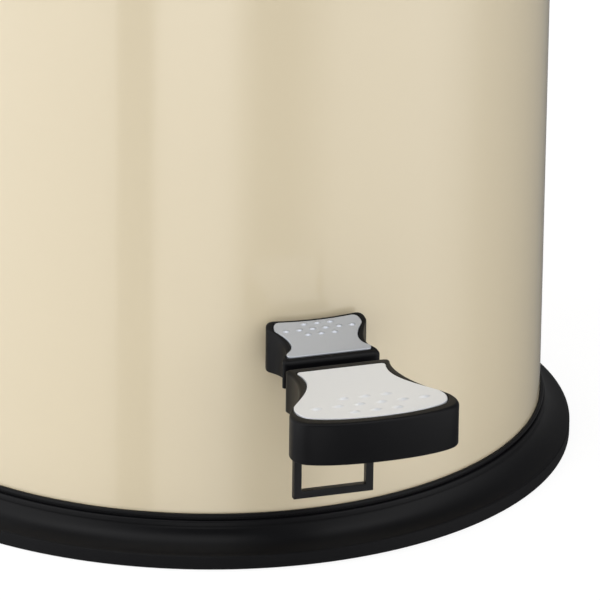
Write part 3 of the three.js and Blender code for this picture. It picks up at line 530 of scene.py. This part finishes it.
def rear_outline(side=0.0, waist_end=None, wall_end=None):
    """The rear pad's plan. Its far edge follows the body's wall."""
    waist_end = side if waist_end is None else waist_end
    wall_end = side if wall_end is None else wall_end
    k = MM
    narrow, wide = WAIST_HALF - REAR_TUCK - side, REAR_HALF - side
    near = REAR_WAIST + waist_end
    wall = REAR_WALL_RADIUS + wall_end

    def wall_at(x):
        return AXIS_Y - math.sqrt(wall * wall - x * x)

    corner = wide - 5 * k
    shoulder = wall_at(wide) - 6 * k
    first, second = near + 0.3 * (shoulder - near), near + 0.56 * (shoulder - near)
    arc = [Vector((corner * (1 - i / 10), wall_at(corner * (1 - i / 10)))) for i in range(11)]
    half = [
        Vector((0, near)),
        Vector((narrow * 0.5, near)),
        *bezier((narrow - 2 * k, near), (narrow - 0.6 * k, near),
                (narrow, near + 0.6 * k), (narrow, near + 2 * k), 4),
        *bezier((narrow, near + 2 * k), (narrow - 5.5 * k, first),
                (wide - 7 * k, second), (wide, shoulder), 14),
        *bezier((wide, shoulder), (wide, wall_at(wide) - 1.5 * k),
                (wide - 1.5 * k, wall_at(wide)), (corner, wall_at(corner)), 8),
        *arc,
    ]
    return mirror_outline(even_out(drop_repeats(half), 70))


def level(z):
    return lambda p: z


def rear_top(depth):
    """Height of the rear pad's sloping top, less a depth measured square to it."""
    return lambda p: PAD_TOP + (p.y - REAR_WAIST) * math.tan(REAR_SLOPE) - depth / math.cos(REAR_SLOPE)


def ring_at(outline, height):
    return [Vector((p.x, p.y, height(p))) for p in outline]


def drawn_in(outline, margins):
    """An outline with its own margins, which can still be drawn in by an inset."""
    return lambda inset: outline(*(margin + inset for margin in margins))


print("front pad", round(FRONT_HALF * 2, 4), "wide,", round(FRONT_WAIST - FRONT_EDGE, 4), "long")

# %% [markdown]
# ### Lofting a pad
#
# The list of rings reads like a section through the wall: up the inside of the skirt, over its foot, up the
# outside, round the top edge, across the land, down into the recess and over its floor.


# %% Both pads
EDGE_STEPS = 5
TOP_ROUND = 1.6 * MM
LAND_EDGE = 0.35 * MM
RECESS = 1.2 * MM
SKIRT_WALL = 2.2 * MM
FRONT_ROOF = 5.2 * MM
REAR_ROOF = 3.7 * MM
FRONT_RECESS = (3.6 * MM, 5.1 * MM)  # margins at the sides and at both ends
REAR_RECESS = (2.8 * MM, 3.1 * MM, 1.7 * MM)  # margins at the sides, at the waist and at the wall


def arc_stops(radius):
    turns = [math.pi / 2 * i / EDGE_STEPS for i in range(EDGE_STEPS + 1)]
    return [(radius * (1 - math.cos(a)), radius * (1 - math.sin(a))) for a in turns]


def loft_pad(name, outline, top, bottom, ceiling, land):
    """outline(inset) gives plan points, top(depth) a height function, and land(inset) the tread's recess."""
    rings = [ring_at(outline(SKIRT_WALL), ceiling), ring_at(outline(SKIRT_WALL), level(bottom))]
    foot = 0.7 * MM
    rings += [ring_at(outline(foot), level(bottom)), ring_at(outline(0.2 * MM), level(bottom + 0.2 * MM))]
    rings.append(ring_at(outline(0), level(bottom + foot)))
    for inset, drop in arc_stops(TOP_ROUND):
        rings.append(ring_at(outline(inset), top(drop)))
    rings.append(ring_at(land(-LAND_EDGE), top(0)))
    rings += [ring_at(land(0), top(depth)) for depth in (LAND_EDGE, RECESS)]
    return skin(name, rings, cap_first=True, cap_last=True)


def make_front_pad():
    mesh = loft_pad(
        "front_pad_moulding",
        front_outline,
        lambda depth: level(PAD_TOP - depth),
        PAD_BOTTOM,
        level(PAD_TOP - FRONT_ROOF),
        drawn_in(front_outline, FRONT_RECESS),
    )
    return finish_piece("front_pad_moulding", mesh, SATIN_BLACK, "pedal", ["front_pad"], 34)


def make_rear_pad():
    mesh = loft_pad(
        "rear_pad_moulding",
        rear_outline,
        rear_top,
        rear_low.z,
        rear_top(REAR_ROOF),
        drawn_in(rear_outline, REAR_RECESS),
    )
    return finish_piece("rear_pad_moulding", mesh, SATIN_BLACK, "pedal", ["rear_pad"], 34)


make_front_pad()
make_rear_pad()
print("pads lofted")

# %% [markdown]
# ### The dimpled treads
#
# Each tread is a satin stainless sheet pressed with twelve ovals in rows of three, six and three. The press
# leaves each oval with a soft foot and a low dome, so its section is a bell curve. We loft the sheet and
# set a small bell mesh on it for every oval.

# %% Both treads
TREAD_SHEET = 1.1 * MM
TREAD_STAND = 0.15 * MM  # how far a tread stands above its pad
BELL_RINGS = 7
BELL_STEPS = 28


def bell(size_x, size_y, height, centre, surface):
    """A low oval dome: rings that rise from a soft foot, and a point on top."""
    bm = bmesh.new()
    rows = []
    for r in range(BELL_RINGS):
        share = 1 - r / BELL_RINGS
        rise = height * (0.5 + 0.5 * math.cos(math.pi * share)) ** 0.8
        row = []
        for i in range(BELL_STEPS):
            a = 2 * math.pi * i / BELL_STEPS
            x = centre[0] + size_x * share * math.cos(a)
            y = centre[1] + size_y * share * math.sin(a)
            row.append(bm.verts.new((x, y, surface(Vector((x, y))) + rise)))
        rows.append(row)
    peak = bm.verts.new((centre[0], centre[1], surface(Vector(centre)) + height))
    for upper, lower in zip(rows, rows[1:]):
        for i in range(BELL_STEPS):
            j = (i + 1) % BELL_STEPS
            bm.faces.new((upper[i], upper[j], lower[j], lower[i]))
    for i in range(BELL_STEPS):
        bm.faces.new((rows[-1][i], rows[-1][(i + 1) % BELL_STEPS], peak))
    bm.faces.new(list(reversed(rows[0])))
    bmesh.ops.recalc_face_normals(bm, faces=bm.faces)
    return bm


def dimple_centres(across, along, middle):
    for count, offset in ((3, 1), (6, 0), (3, -1)):
        for i in range(count):
            yield ((i - (count - 1) / 2) * across, middle + offset * along)


def make_tread(name, outline, top, sizes, steel, replaced):
    """outline(inset) gives the sheet's plan, and top(depth) its height."""
    rings = [
        ring_at(outline(0), top(TREAD_SHEET)),
        ring_at(outline(0), top(0.25 * MM)),
        ring_at(outline(0.07 * MM), top(0.08 * MM)),
        ring_at(outline(0.25 * MM), top(0)),
        ring_at(outline(0.6 * MM), top(0)),
    ]
    sheet = skin(name, rings, cap_first=True, cap_last=True)
    whole = bmesh.new()
    whole.from_mesh(sheet)
    for centre in dimple_centres(sizes["across"], sizes["along"], sizes["middle"]):
        dome = bell(sizes["half_length"], sizes["half_width"], sizes["height"], centre, top(0.02 * MM))
        part = bpy.data.meshes.new("dome")
        dome.to_mesh(part)
        whole.from_mesh(part)
        dome.free()
        bpy.data.meshes.remove(part)
    whole.to_mesh(sheet)
    whole.free()
    return finish_piece(name, sheet, steel, "pedal", [replaced], 40)


FRONT_DIMPLES = {
    "half_length": 3.4 * MM,
    "half_width": 1.9 * MM,
    "height": 0.75 * MM,
    "across": 10.8 * MM,
    "along": 8.5 * MM,
    "middle": AXIS_Y - 258.3 * MM,
}
REAR_DIMPLES = {
    "half_length": 2.2 * MM,
    "half_width": 1.2 * MM,
    "height": 0.6 * MM,
    "across": 6.7 * MM,
    "along": 3.5 * MM,
    "middle": AXIS_Y - 180 * MM,
}
make_tread(
    "front_tread_sheet",
    drawn_in(front_outline, (4 * MM, 5.5 * MM)),
    lambda depth: level(PAD_TOP + TREAD_STAND - depth),
    FRONT_DIMPLES,
    SATIN_STEEL,
    "front_tread",
)
# The rear tread takes the darker copy of the steel, which is painted shade.
make_tread(
    "rear_tread_sheet",
    drawn_in(rear_outline, (3.2 * MM, 3.5 * MM, 2 * MM)),
    lambda depth: rear_top(depth - TREAD_STAND),
    REAR_DIMPLES,
    SHADED_REAR_TREAD_STEEL,
    "rear_tread",
)
print("treads pressed with", len(list(dimple_centres(1, 1, 0))), "dimples each")

# %% [markdown]
# ## The stirrup
#
# A square hoop hangs between the two pads as a stop. We carry a small square section round its U-shaped path
# and mitre it at the two lower corners, which keeps them sharp.


# %% Stirrup
stirrup_low, stirrup_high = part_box("stop_stirrup")
STIRRUP_BAR = 3.8 * MM


def make_stirrup():
    half = STIRRUP_BAR / 2
    middle_y = (stirrup_high.y + stirrup_low.y) / 2
    x = stirrup_high.x - half
    low, high = stirrup_low.z + half, stirrup_high.z
    section = rounded([(-half, -half), (half, -half), (half, half), (-half, half)], [0.35 * MM] * 4, steps=3)
    stations = (
        (Vector((-x, middle_y, high)), Vector((1, 0, 0))),
        (Vector((-x, middle_y, low)), Vector((1, 0, 1))),
        (Vector((x, middle_y, low)), Vector((-1, 0, 1))),
        (Vector((x, middle_y, high)), Vector((-1, 0, 0))),
    )
    rings = [[place + inwards * u + Vector((0, v, 0)) for u, v in section] for place, inwards in stations]
    mesh = skin("stirrup_bar", rings, cap_first=True, cap_last=True)
    return finish_piece("stirrup_bar", mesh, BLACK_STEEL, "pedal", ["stop_stirrup"], 40)


make_stirrup()
print("stirrup hangs to", round(stirrup_low.z, 4))

# %% [markdown]
# ## Top rim, lid and liner
#
# These are turned too. The lid's section starts with a small rolled hem, runs up the skirt and over one
# long shoulder into the crown. Its skirt is open at the back, where the hinge arms pass.

# %% Top rim
_, rim_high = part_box("top_rim")
RIM_TOP = rim_high.z
RIM_BORE = 146 * MM
RIM_FLANGE = RIM_TOP - 3.5 * MM  # its underside
RIM_TUCK = BODY_TOP - 8 * MM  # the foot of its leg inside the body
RIM_LEG = 2.2 * MM
RIM_SKIRT = BODY_TOP - 10 * MM
FIT = 0.3 * MM  # clearance between pieces that enclose each other


def make_top_rim():
    outer = rim_high.x
    leg = BODY_RADIUS - BODY_WALL - FIT
    section = rounded(
        [
            (RIM_BORE, RIM_FLANGE),
            (leg - RIM_LEG, RIM_FLANGE),
            (leg - RIM_LEG, RIM_TUCK),
            (leg, RIM_TUCK),
            (leg, BODY_TOP + FIT),
            (BODY_RADIUS + FIT, BODY_TOP + FIT),
            (BODY_RADIUS + FIT, RIM_SKIRT),
            (outer, RIM_SKIRT),
            (outer, RIM_TOP),
            (RIM_BORE, RIM_TOP),
        ],
        [0, 0, 0, 0, 0, 0, 0.3 * MM, 0.8 * MM, 2.2 * MM, 0.8 * MM],
    )
    # the push rod passes a notch at the back, 10 mm to its right and 8 mm to its left
    gap_low = math.degrees(math.asin(10 / 160))
    gap_high = math.degrees(math.asin(8 / 160))
    return open_turned("top_rim_moulding", section, 90 + gap_high, 450 - gap_low, SATIN_BLACK, "bin_body",
                       ["top_rim"])


def open_turned(name, section, start, end, finish, body, replaced, steps=ROUND_STEPS):
    """Spin a closed section over part of a turn, and close both ends."""
    rings = []
    for i in range(steps + 1):
        a = math.radians(start + (end - start) * i / steps)
        rings.append([Vector((r * math.cos(a), AXIS_Y + r * math.sin(a), z)) for r, z in section])
    mesh = skin(name, rings, cap_first=True, cap_last=True)
    return finish_piece(name, mesh, finish, body, replaced)


make_top_rim()
print("top rim at", round(RIM_TOP, 4))

# %% Lid and liner
lid_low, lid_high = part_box("lid_shell")
LID_RADIUS = lid_high.x
LID_BOTTOM = lid_low.z
LID_CROWN = lid_high.z
SHOULDER = LID_BOTTOM + 24 * MM
LID_SHEET = 1.0 * MM


def dome_points(steps):
    return bezier((LID_RADIUS, SHOULDER), (LID_RADIUS, SHOULDER + 20 * MM), (120 * MM, LID_CROWN),
                  (0, LID_CROWN), steps)


def make_lid():
    crown = dome_points(40)[:-1]
    holes = [((-31 * MM, 31 * MM), (LID_BOTTOM, 638 * MM), False)]
    skirt_heights = [LID_BOTTOM, LID_BOTTOM + 6 * MM, SHOULDER]
    dome = {round(p.y, 7): p.x for p in crown}

    def radius_at(z):
        return dome.get(round(z, 7), LID_RADIUS)

    heights = skirt_heights + [p.y for p in crown]
    mesh = wall_with_holes("enamelled_lid", LID_RADIUS, heights, holes, radius_at)
    bm = bmesh.new()
    bm.from_mesh(mesh)
    top = max(v.co.z for v in bm.verts)
    ring = [v for v in bm.verts if v.co.z > top - 1e-6]
    bmesh.ops.contextual_create(bm, geom=[e for e in bm.edges if all(v in ring for v in e.verts)])
    bmesh.ops.recalc_face_normals(bm, faces=bm.faces)
    bm.to_mesh(mesh)
    bm.free()
    piece = finish_piece("enamelled_lid", mesh, CREAM_ENAMEL, "lid", ["lid_shell"])
    return thicken(piece, LID_SHEET)


make_lid()
print("lid crown at", round(LID_CROWN, 4))


def make_liner():
    outer = LID_RADIUS - LID_SHEET - FIT
    lip, wall = outer - 4.5 * MM, outer - 2 * MM
    foot, step, top = LID_BOTTOM + FIT, LID_BOTTOM + 2.3 * MM, LID_BOTTOM + 6 * MM
    section = rounded(
        [(lip, foot), (outer, foot), (outer, top), (wall, top), (wall, step), (lip, step)],
        [0.5 * MM, 0.3 * MM, 0.5 * MM, 0.5 * MM, 0.8 * MM, 0.7 * MM],
    )
    gap_angle = math.degrees(math.asin(33 / 168))
    return open_turned("lid_liner_ring", section, 90 + gap_angle, 450 - gap_angle, GREY_MOULDING, "lid",
                       ["lid_liner"])


make_liner()
print("liner fitted")

# %% [markdown]
# ## The bucket and its bail
#
# The bucket is a tapered moulding that hangs on the rim. Its rim is cut straight at the back, where the
# push rod passes. The bail is a bent wire with a moulded sleeve for the hand.

# %% Bucket
bucket_low, bucket_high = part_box("inner_bucket")
BUCKET_FLAT = bucket_high.y


def make_bucket():
    top, rim, base, pole = 139.5 * MM, 152 * MM, 120 * MM, 0.5 * MM
    wall, flange = 2 * MM, 2.3 * MM
    bottom, rim_z = bucket_low.z, bucket_high.z
    section = rounded(
        [
            (pole, bottom),
            (base, bottom),
            (top, rim_z - flange),
            (rim, rim_z - flange),
            (rim, rim_z),
            (top - wall, rim_z),
            (base - wall, bottom + wall),
            (pole, bottom + wall),
        ],
        [0, 8 * MM, 1 * MM, 0.8 * MM, 0.8 * MM, 2 * MM, 6 * MM, 0],
    )
    rings = []
    for radius, z in section:
        ring = circle(radius, z)
        rings.append([Vector((p.x, min(p.y, BUCKET_FLAT), p.z)) for p in ring])
    mesh = skin("bucket_moulding", rings, wrap_rings=True)
    return finish_piece("bucket_moulding", mesh, GREY_MOULDING, "bucket", ["inner_bucket"])


make_bucket()
print("bucket from", round(bucket_low.z, 4), "to", round(bucket_high.z, 4))

# %% Bail and its sleeve
bail_low, bail_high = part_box("bucket_bail")
BAIL_Z = (bail_low.z + bail_high.z) / 2
BAIL_WIRE = (bail_high.z - bail_low.z) / 2
BAIL_REACH = 143 * MM


def round_section(radius, steps=16):
    return [(radius * math.cos(2 * math.pi * i / steps), radius * math.sin(2 * math.pi * i / steps))
            for i in range(steps)]


def swept_round(name, path, radii, side, steps=16):
    rings = []
    for i, point in enumerate(path):
        ahead = path[min(i + 1, len(path) - 1)]
        behind = path[max(i - 1, 0)]
        along = (ahead - behind).normalized()
        out = along.cross(side).normalized()
        rings.append([point + out * u + side * v for u, v in round_section(radii[i], steps)])
    return skin(name, rings, cap_first=True, cap_last=True)


def make_bail():
    up = Vector((0, 0, 1))
    bend = 3 * MM
    reach = BAIL_REACH
    path = [Vector((-bail_high.x, AXIS_Y, BAIL_Z)), Vector((-reach - bend + 1 * MM, AXIS_Y, BAIL_Z))]
    start = math.asin(bend / reach)
    steps = 96
    for i in range(steps + 1):
        a = math.pi + start + (math.pi - 2 * start) * i / steps
        path.append(Vector((reach * math.cos(a), AXIS_Y + reach * math.sin(a), BAIL_Z)))
    path += [Vector((reach + bend - 1 * MM, AXIS_Y, BAIL_Z)), Vector((bail_high.x, AXIS_Y, BAIL_Z))]
    mesh = swept_round("bail_wire", path, [BAIL_WIRE] * len(path), up)
    finish_piece("bail_wire", mesh, ZINC_PLATE, "bail", ["bucket_bail"])
    sweep = math.radians(16)
    count = 28
    grip, rib, taper = 5 * MM, 0.25 * MM, 2.2 * MM
    grip_path = []
    radii = []
    for i in range(count + 1):
        a = -math.pi / 2 - sweep + 2 * sweep * i / count
        grip_path.append(Vector((reach * math.cos(a), AXIS_Y + reach * math.sin(a), BAIL_Z)))
        groove = rib if i % 3 == 0 else 0
        radii.append(grip - (taper if i in (0, count) else groove))
    mesh = swept_round("bail_sleeve", grip_path, radii, up, 24)
    finish_piece("bail_sleeve", mesh, GREY_MOULDING, "bail", ["bail_grip"])


make_bail()
print("bail and sleeve at", round(BAIL_Z, 4))

# %% [markdown]
# ## Pins, bolts, feet and other small turned parts
#
# These parts are short cylinders with a chamfer or a dome. Their measured boxes say where each one is and
# how long, so one function turns them all from a list of (distance, radius) stops.


# %% Small turned parts
def turned_along(name, node, axis, stops, finish, body, steps=32):
    """Turn a piece about one axis of its node's box. Each stop is (distance from the low end, radius)."""
    box_low, box_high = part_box(node)
    middle = (box_low + box_high) / 2
    others = [i for i in range(3) if i != axis]
    rings = []
    for position, radius in stops:
        ring = []
        for i in range(steps):
            a = 2 * math.pi * i / steps
            point = Vector((0, 0, 0))
            point[axis] = box_low[axis] + position
            point[others[0]] = middle[others[0]] + radius * math.cos(a)
            point[others[1]] = middle[others[1]] + radius * math.sin(a)
            ring.append(point)
        rings.append(ring)
    mesh = skin(name, rings, cap_first=True, cap_last=True)
    return finish_piece(name, mesh, finish, body, [node])


def chamfered(length, radius, edge):
    return [(0, radius - edge), (edge, radius), (length - edge, radius), (length, radius - edge)]


def length_of(node, axis):
    box_low, box_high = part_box(node)
    return (box_high - box_low)[axis]


for number in range(1, 5):
    foot = f"foot_{number}"
    puck = chamfered(length_of(foot, 2), 7 * MM, 0.8 * MM)
    turned_along(f"rubber_foot_{number}", foot, 2, puck, RUBBER, "bin_body")

for node, piece_name, radius, body in (
    ("lever_axle", "axle_rod", 4.0, "bin_body"),
    ("push_rod", "rod_bar", 3.0, "rod"),
):
    axis = 0 if node == "lever_axle" else 2
    bar = chamfered(length_of(node, axis), radius * MM, 0.6 * MM)
    turned_along(piece_name, node, axis, bar, ZINC_PLATE, body)

for number in range(1, 4):
    node = f"lid_bumper_{number}"
    tall = length_of(node, 2)
    dome = [(0, 2.3 * MM), (0.4 * MM, 2.4 * MM), (tall - 0.4 * MM, 2.1 * MM), (tall, 1.2 * MM)]
    turned_along(f"bumper_{number}", node, 2, dome, RUBBER, "bin_body")


def domed_screw(node, piece_name, body, head, shank=2.0):
    """A pan head at the outer (+Y) end, and a shank towards the bin."""
    length = length_of(node, 1)
    thick = head["thick"] * MM
    wide = head["radius"] * MM
    stops = [(0, shank * MM - 0.3 * MM), (0.3 * MM, shank * MM), (length - thick, shank * MM)]
    stops += [(length - thick, wide - 0.2 * MM), (length - thick + 0.2 * MM, wide)]
    for i in range(1, 6):
        a = math.pi / 2 * i / 6
        stops.append((length - thick * 0.8 * (1 - math.sin(a)), wide * math.cos(a) ** 0.6))
    turned_along(piece_name, node, 1, stops, ZINC_PLATE, body)


for number in range(1, 5):
    domed_screw(f"guide_rivet_{number}", f"rivet_{number}", "bin_body", {"thick": 1.5, "radius": 3.5})
for side in ("left", "right"):
    domed_screw(f"housing_screw_{side}", f"housing_fixing_{side}", "bin_body", {"thick": 2.0, "radius": 4.5})
    domed_screw(f"lid_screw_{side}", f"lid_fixing_{side}", "lid", {"thick": 1.6, "radius": 3.5})

hinge_length = length_of("hinge_pin", 0)
pin_head = hinge_length - 1.7 * MM
hinge_stops = [(0, 2.4 * MM), (0.6 * MM, 3 * MM), (pin_head, 3 * MM), (pin_head, 5 * MM),
               (hinge_length - 0.5 * MM, 5 * MM), (hinge_length, 4.2 * MM)]
turned_along("hinge_pin_rod", "hinge_pin", 0, hinge_stops, ZINC_PLATE, "bin_body")
print("small turned parts made")

# %% [markdown]
# ## Measured parts that keep their shape
#
# Flat brackets, eyes, arms and the housing are already the right shape, so they keep their measured meshes
# and only take a finish.

# %% Finishes for the measured parts
KEPT = {
    "base_plate": MATT_BLACK,
    "pivot_bracket": BLACK_STEEL,
    "bracket_bolt_1": ZINC_PLATE,
    "bracket_bolt_2": ZINC_PLATE,
    "axle_clip_left": ZINC_PLATE,
    "axle_clip_right": ZINC_PLATE,
    "rod_guide_1": BLACK_STEEL,
    "rod_guide_2": BLACK_STEEL,
    "hinge_housing": MATT_BLACK,
    "carry_grip": MATT_BLACK,
    "pedal_lever": BLACK_STEEL,
    "pivot_tube": ZINC_PLATE,
    "front_pad_bolt": ZINC_PLATE,
    "rear_pad_bolt": ZINC_PLATE,
    "rod_lower_eye": BLACK_STEEL,
    "rod_upper_eye": BLACK_STEEL,
    "lid_hinge_bracket": MATT_BLACK,
    "crank_plate": BLACK_STEEL,
    "crank_pin": ZINC_PLATE,
    "bucket_ear_left": GREY_MOULDING,
    "bucket_ear_right": GREY_MOULDING,
}
for node, finish in KEPT.items():
    for material_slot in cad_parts[node].material_slots:
        material_slot.material = finish
print("measured parts painted:", len(KEPT))

# %% [markdown]
# ## Floor, light and camera
#
# The bin stands on a pale sweep. Enamel shows what stands round it, so the light comes from large soft
# boxes: their edges draw the upright bands that tell the eye the body is round and glossy.

# %% Floor
OPEN_FLOOR = 0.86  # what the floor shows the eye by itself; the light that falls on it adds the rest
FLOOR_SHADE = 0.2  # how much of that light it shows, so a shadow stays as a faint grey


def link_mix(tree, chooser, first, second):
    mix = tree.nodes.new("ShaderNodeMixShader")
    tree.links.new(chooser, mix.inputs["Fac"])
    tree.links.new(first, mix.inputs[1])
    tree.links.new(second, mix.inputs[2])
    return mix.outputs["Shader"]


def pale_surface(name, colour):
    """White to the eye with a faint shadow, a pale matt floor to the light, and nothing to a reflection."""
    finish, tree, shader = new_finish(name, roughness=0.9, specular=0.0)
    shader.inputs["Base Color"].default_value = (colour, colour, colour, 1)
    glow = tree.nodes.new("ShaderNodeEmission")
    glow.inputs["Strength"].default_value = OPEN_FLOOR
    shade = tree.nodes.new("ShaderNodeBsdfDiffuse")
    shade.inputs["Color"].default_value = (FLOOR_SHADE, FLOOR_SHADE, FLOOR_SHADE, 1)
    seen = tree.nodes.new("ShaderNodeAddShader")
    tree.links.new(glow.outputs["Emission"], seen.inputs[0])
    tree.links.new(shade.outputs["BSDF"], seen.inputs[1])
    clear = tree.nodes.new("ShaderNodeBsdfTransparent")
    ray = tree.nodes.new("ShaderNodeLightPath")
    lit = link_mix(tree, ray.outputs["Is Camera Ray"], shader.outputs["BSDF"], seen.outputs["Shader"])
    whole = link_mix(tree, ray.outputs["Is Glossy Ray"], lit, clear.outputs["BSDF"])
    tree.links.new(whole, tree.nodes["Material Output"].inputs["Surface"])
    return finish


def make_floor():
    bm = bmesh.new()
    size = 6.0
    corners = [bm.verts.new((x * size, y * size, -0.0005)) for x, y in ((-1, -1), (1, -1), (1, 1), (-1, 1))]
    bm.faces.new(corners)
    mesh = bpy.data.meshes.new("studio_floor")
    bm.to_mesh(mesh)
    bm.free()
    mesh.materials.append(pale_surface("studio_white", 0.8))
    floor = bpy.data.objects.new("studio_floor", mesh)
    bpy.context.scene.collection.objects.link(floor)
    return floor


make_floor()
print("floor laid")


# %% Light
HEADING = math.radians(-18.32)

# Each row is (degrees, brightness). Round the bin, 0 is behind the eye and positive is to the right.
SIDE_BOXES = [
    (-180, 0.1), (-160, 0.1), (-150, 0.6), (-118, 0.6), (-108, 0.1), (-102, 0.3), (-92, 1), (-31, 0.9),
    (-28.5, 0.04), (17, 0.04), (28, 0.04), (46, 0.8), (80, 0.85), (95, 0.5), (106, 0.16), (130, 0.07),
    (180, 0.07),
]
SIDE_HEIGHT = [(-90, 0.3), (-24.9, 0.42), (-23.1, 0.5), (-18.7, 1), (52, 1), (64, 0)]
LOW_BOX = [(-19, 0), (-15, 1), (7, 1), (12, 0.45), (18, 0)]
LOW_HEIGHT = [(-90, 0.3), (-24.4, 0.4), (-22, 0.58), (-19.2, 1), (-4, 1), (2, 0)]
TOP_BOX = [(-90, 0), (-60, 1), (60, 1), (90, 0)]
TOP_HEIGHT = [(40, 0), (48, 1), (74, 1), (84, 0.35), (90, 0.35)]
ROOM_LIGHT = 0.08  # what reaches the bin from everywhere
SOFT_BOXES = ((1.95, SIDE_BOXES, SIDE_HEIGHT), (2.05, LOW_BOX, LOW_HEIGHT), (1.75, TOP_BOX, TOP_HEIGHT))


def by_angle(tree, angle, rows):
    """Brightness along an angle, from rows of (degrees, brightness)."""
    ramp = tree.nodes.new("ShaderNodeValToRGB")
    stops = ramp.color_ramp.elements
    ends = (rows[0], rows[-1])
    for stop, (degrees, brightness) in zip((stops[0], stops[1]), ends):
        stop.position = 0.5 + degrees / 360
        stop.color = (brightness, brightness, brightness, 1)
    for degrees, brightness in rows[1:-1]:
        stop = stops.new(0.5 + degrees / 360)
        stop.color = (brightness, brightness, brightness, 1)
    tree.links.new(angle, ramp.inputs["Fac"])
    return ramp.outputs["Color"]


def sums(tree, operation, first, second, third=None):
    node = tree.nodes.new("ShaderNodeMath")
    node.operation = operation
    for socket, value in zip(node.inputs, (first, second, third)):
        if isinstance(value, (int, float)):
            socket.default_value = value
        elif value is not None:
            tree.links.new(value, socket)
    return node.outputs["Value"]


def make_world():
    world = bpy.data.worlds.new("studio_air")
    world.use_nodes = True
    tree = world.node_tree
    place = tree.nodes.new("ShaderNodeTexCoord")
    turn = tree.nodes.new("ShaderNodeVectorRotate")
    turn.rotation_type = "Z_AXIS"
    turn.inputs["Angle"].default_value = -HEADING
    parts = tree.nodes.new("ShaderNodeSeparateXYZ")
    tree.links.new(place.outputs["Generated"], turn.inputs["Vector"])
    tree.links.new(turn.outputs["Vector"], parts.inputs["Vector"])
    forward = sums(tree, "MULTIPLY", parts.outputs["Y"], -1)
    round_it = sums(tree, "ARCTAN2", parts.outputs["X"], forward)
    round_it = sums(tree, "MULTIPLY_ADD", round_it, 0.5 / math.pi, 0.5)
    up_it = sums(tree, "ARCSINE", parts.outputs["Z"], 0)
    up_it = sums(tree, "MULTIPLY_ADD", up_it, 0.5 / math.pi, 0.5)
    light = ROOM_LIGHT
    for strength, across, tall in SOFT_BOXES:
        box = sums(tree, "MULTIPLY", by_angle(tree, round_it, across), by_angle(tree, up_it, tall))
        light = sums(tree, "MULTIPLY_ADD", box, strength, light)
    plain = tree.nodes["Background"]
    tree.links.new(light, plain.inputs["Strength"])
    plain.inputs["Color"].default_value = (1, 1, 1, 1)
    white = tree.nodes.new("ShaderNodeBackground")
    white.inputs["Color"].default_value = (1, 1, 1, 1)
    ray = tree.nodes.new("ShaderNodeLightPath")
    lit, seen = plain.outputs["Background"], white.outputs["Background"]
    whole = link_mix(tree, ray.outputs["Is Camera Ray"], lit, seen)
    tree.links.new(whole, tree.nodes["World Output"].inputs["Surface"])
    bpy.context.scene.world = world


make_world()
print("light set")

# %% Camera
VIEW_DOWN = math.radians(21.99)
ROLL = math.radians(0.7)
EYE_PLACE = Vector((0.2777, -20, 8.4743))  # in body radii from the axis at the floor, before the turn
LENS_OVER_SENSOR = 12.032


def make_camera():
    camera = bpy.data.cameras.new("eye")
    camera.sensor_width = 36
    camera.lens = 36 * LENS_OVER_SENSOR
    camera.clip_end = 50
    eye = bpy.data.objects.new("eye", camera)
    turn = Matrix.Rotation(HEADING, 4, "Z")
    place = turn @ (EYE_PLACE * BODY_RADIUS) + Vector((0, AXIS_Y, 0))
    look = turn @ Matrix.Rotation(math.pi / 2 - VIEW_DOWN, 4, "X") @ Matrix.Rotation(ROLL, 4, "Z")
    eye.matrix_world = Matrix.Translation(place) @ look
    bpy.context.scene.collection.objects.link(eye)
    bpy.context.scene.camera = eye
    bpy.context.scene.view_settings.view_transform = "Standard"
    return eye


make_camera()
print("camera set")
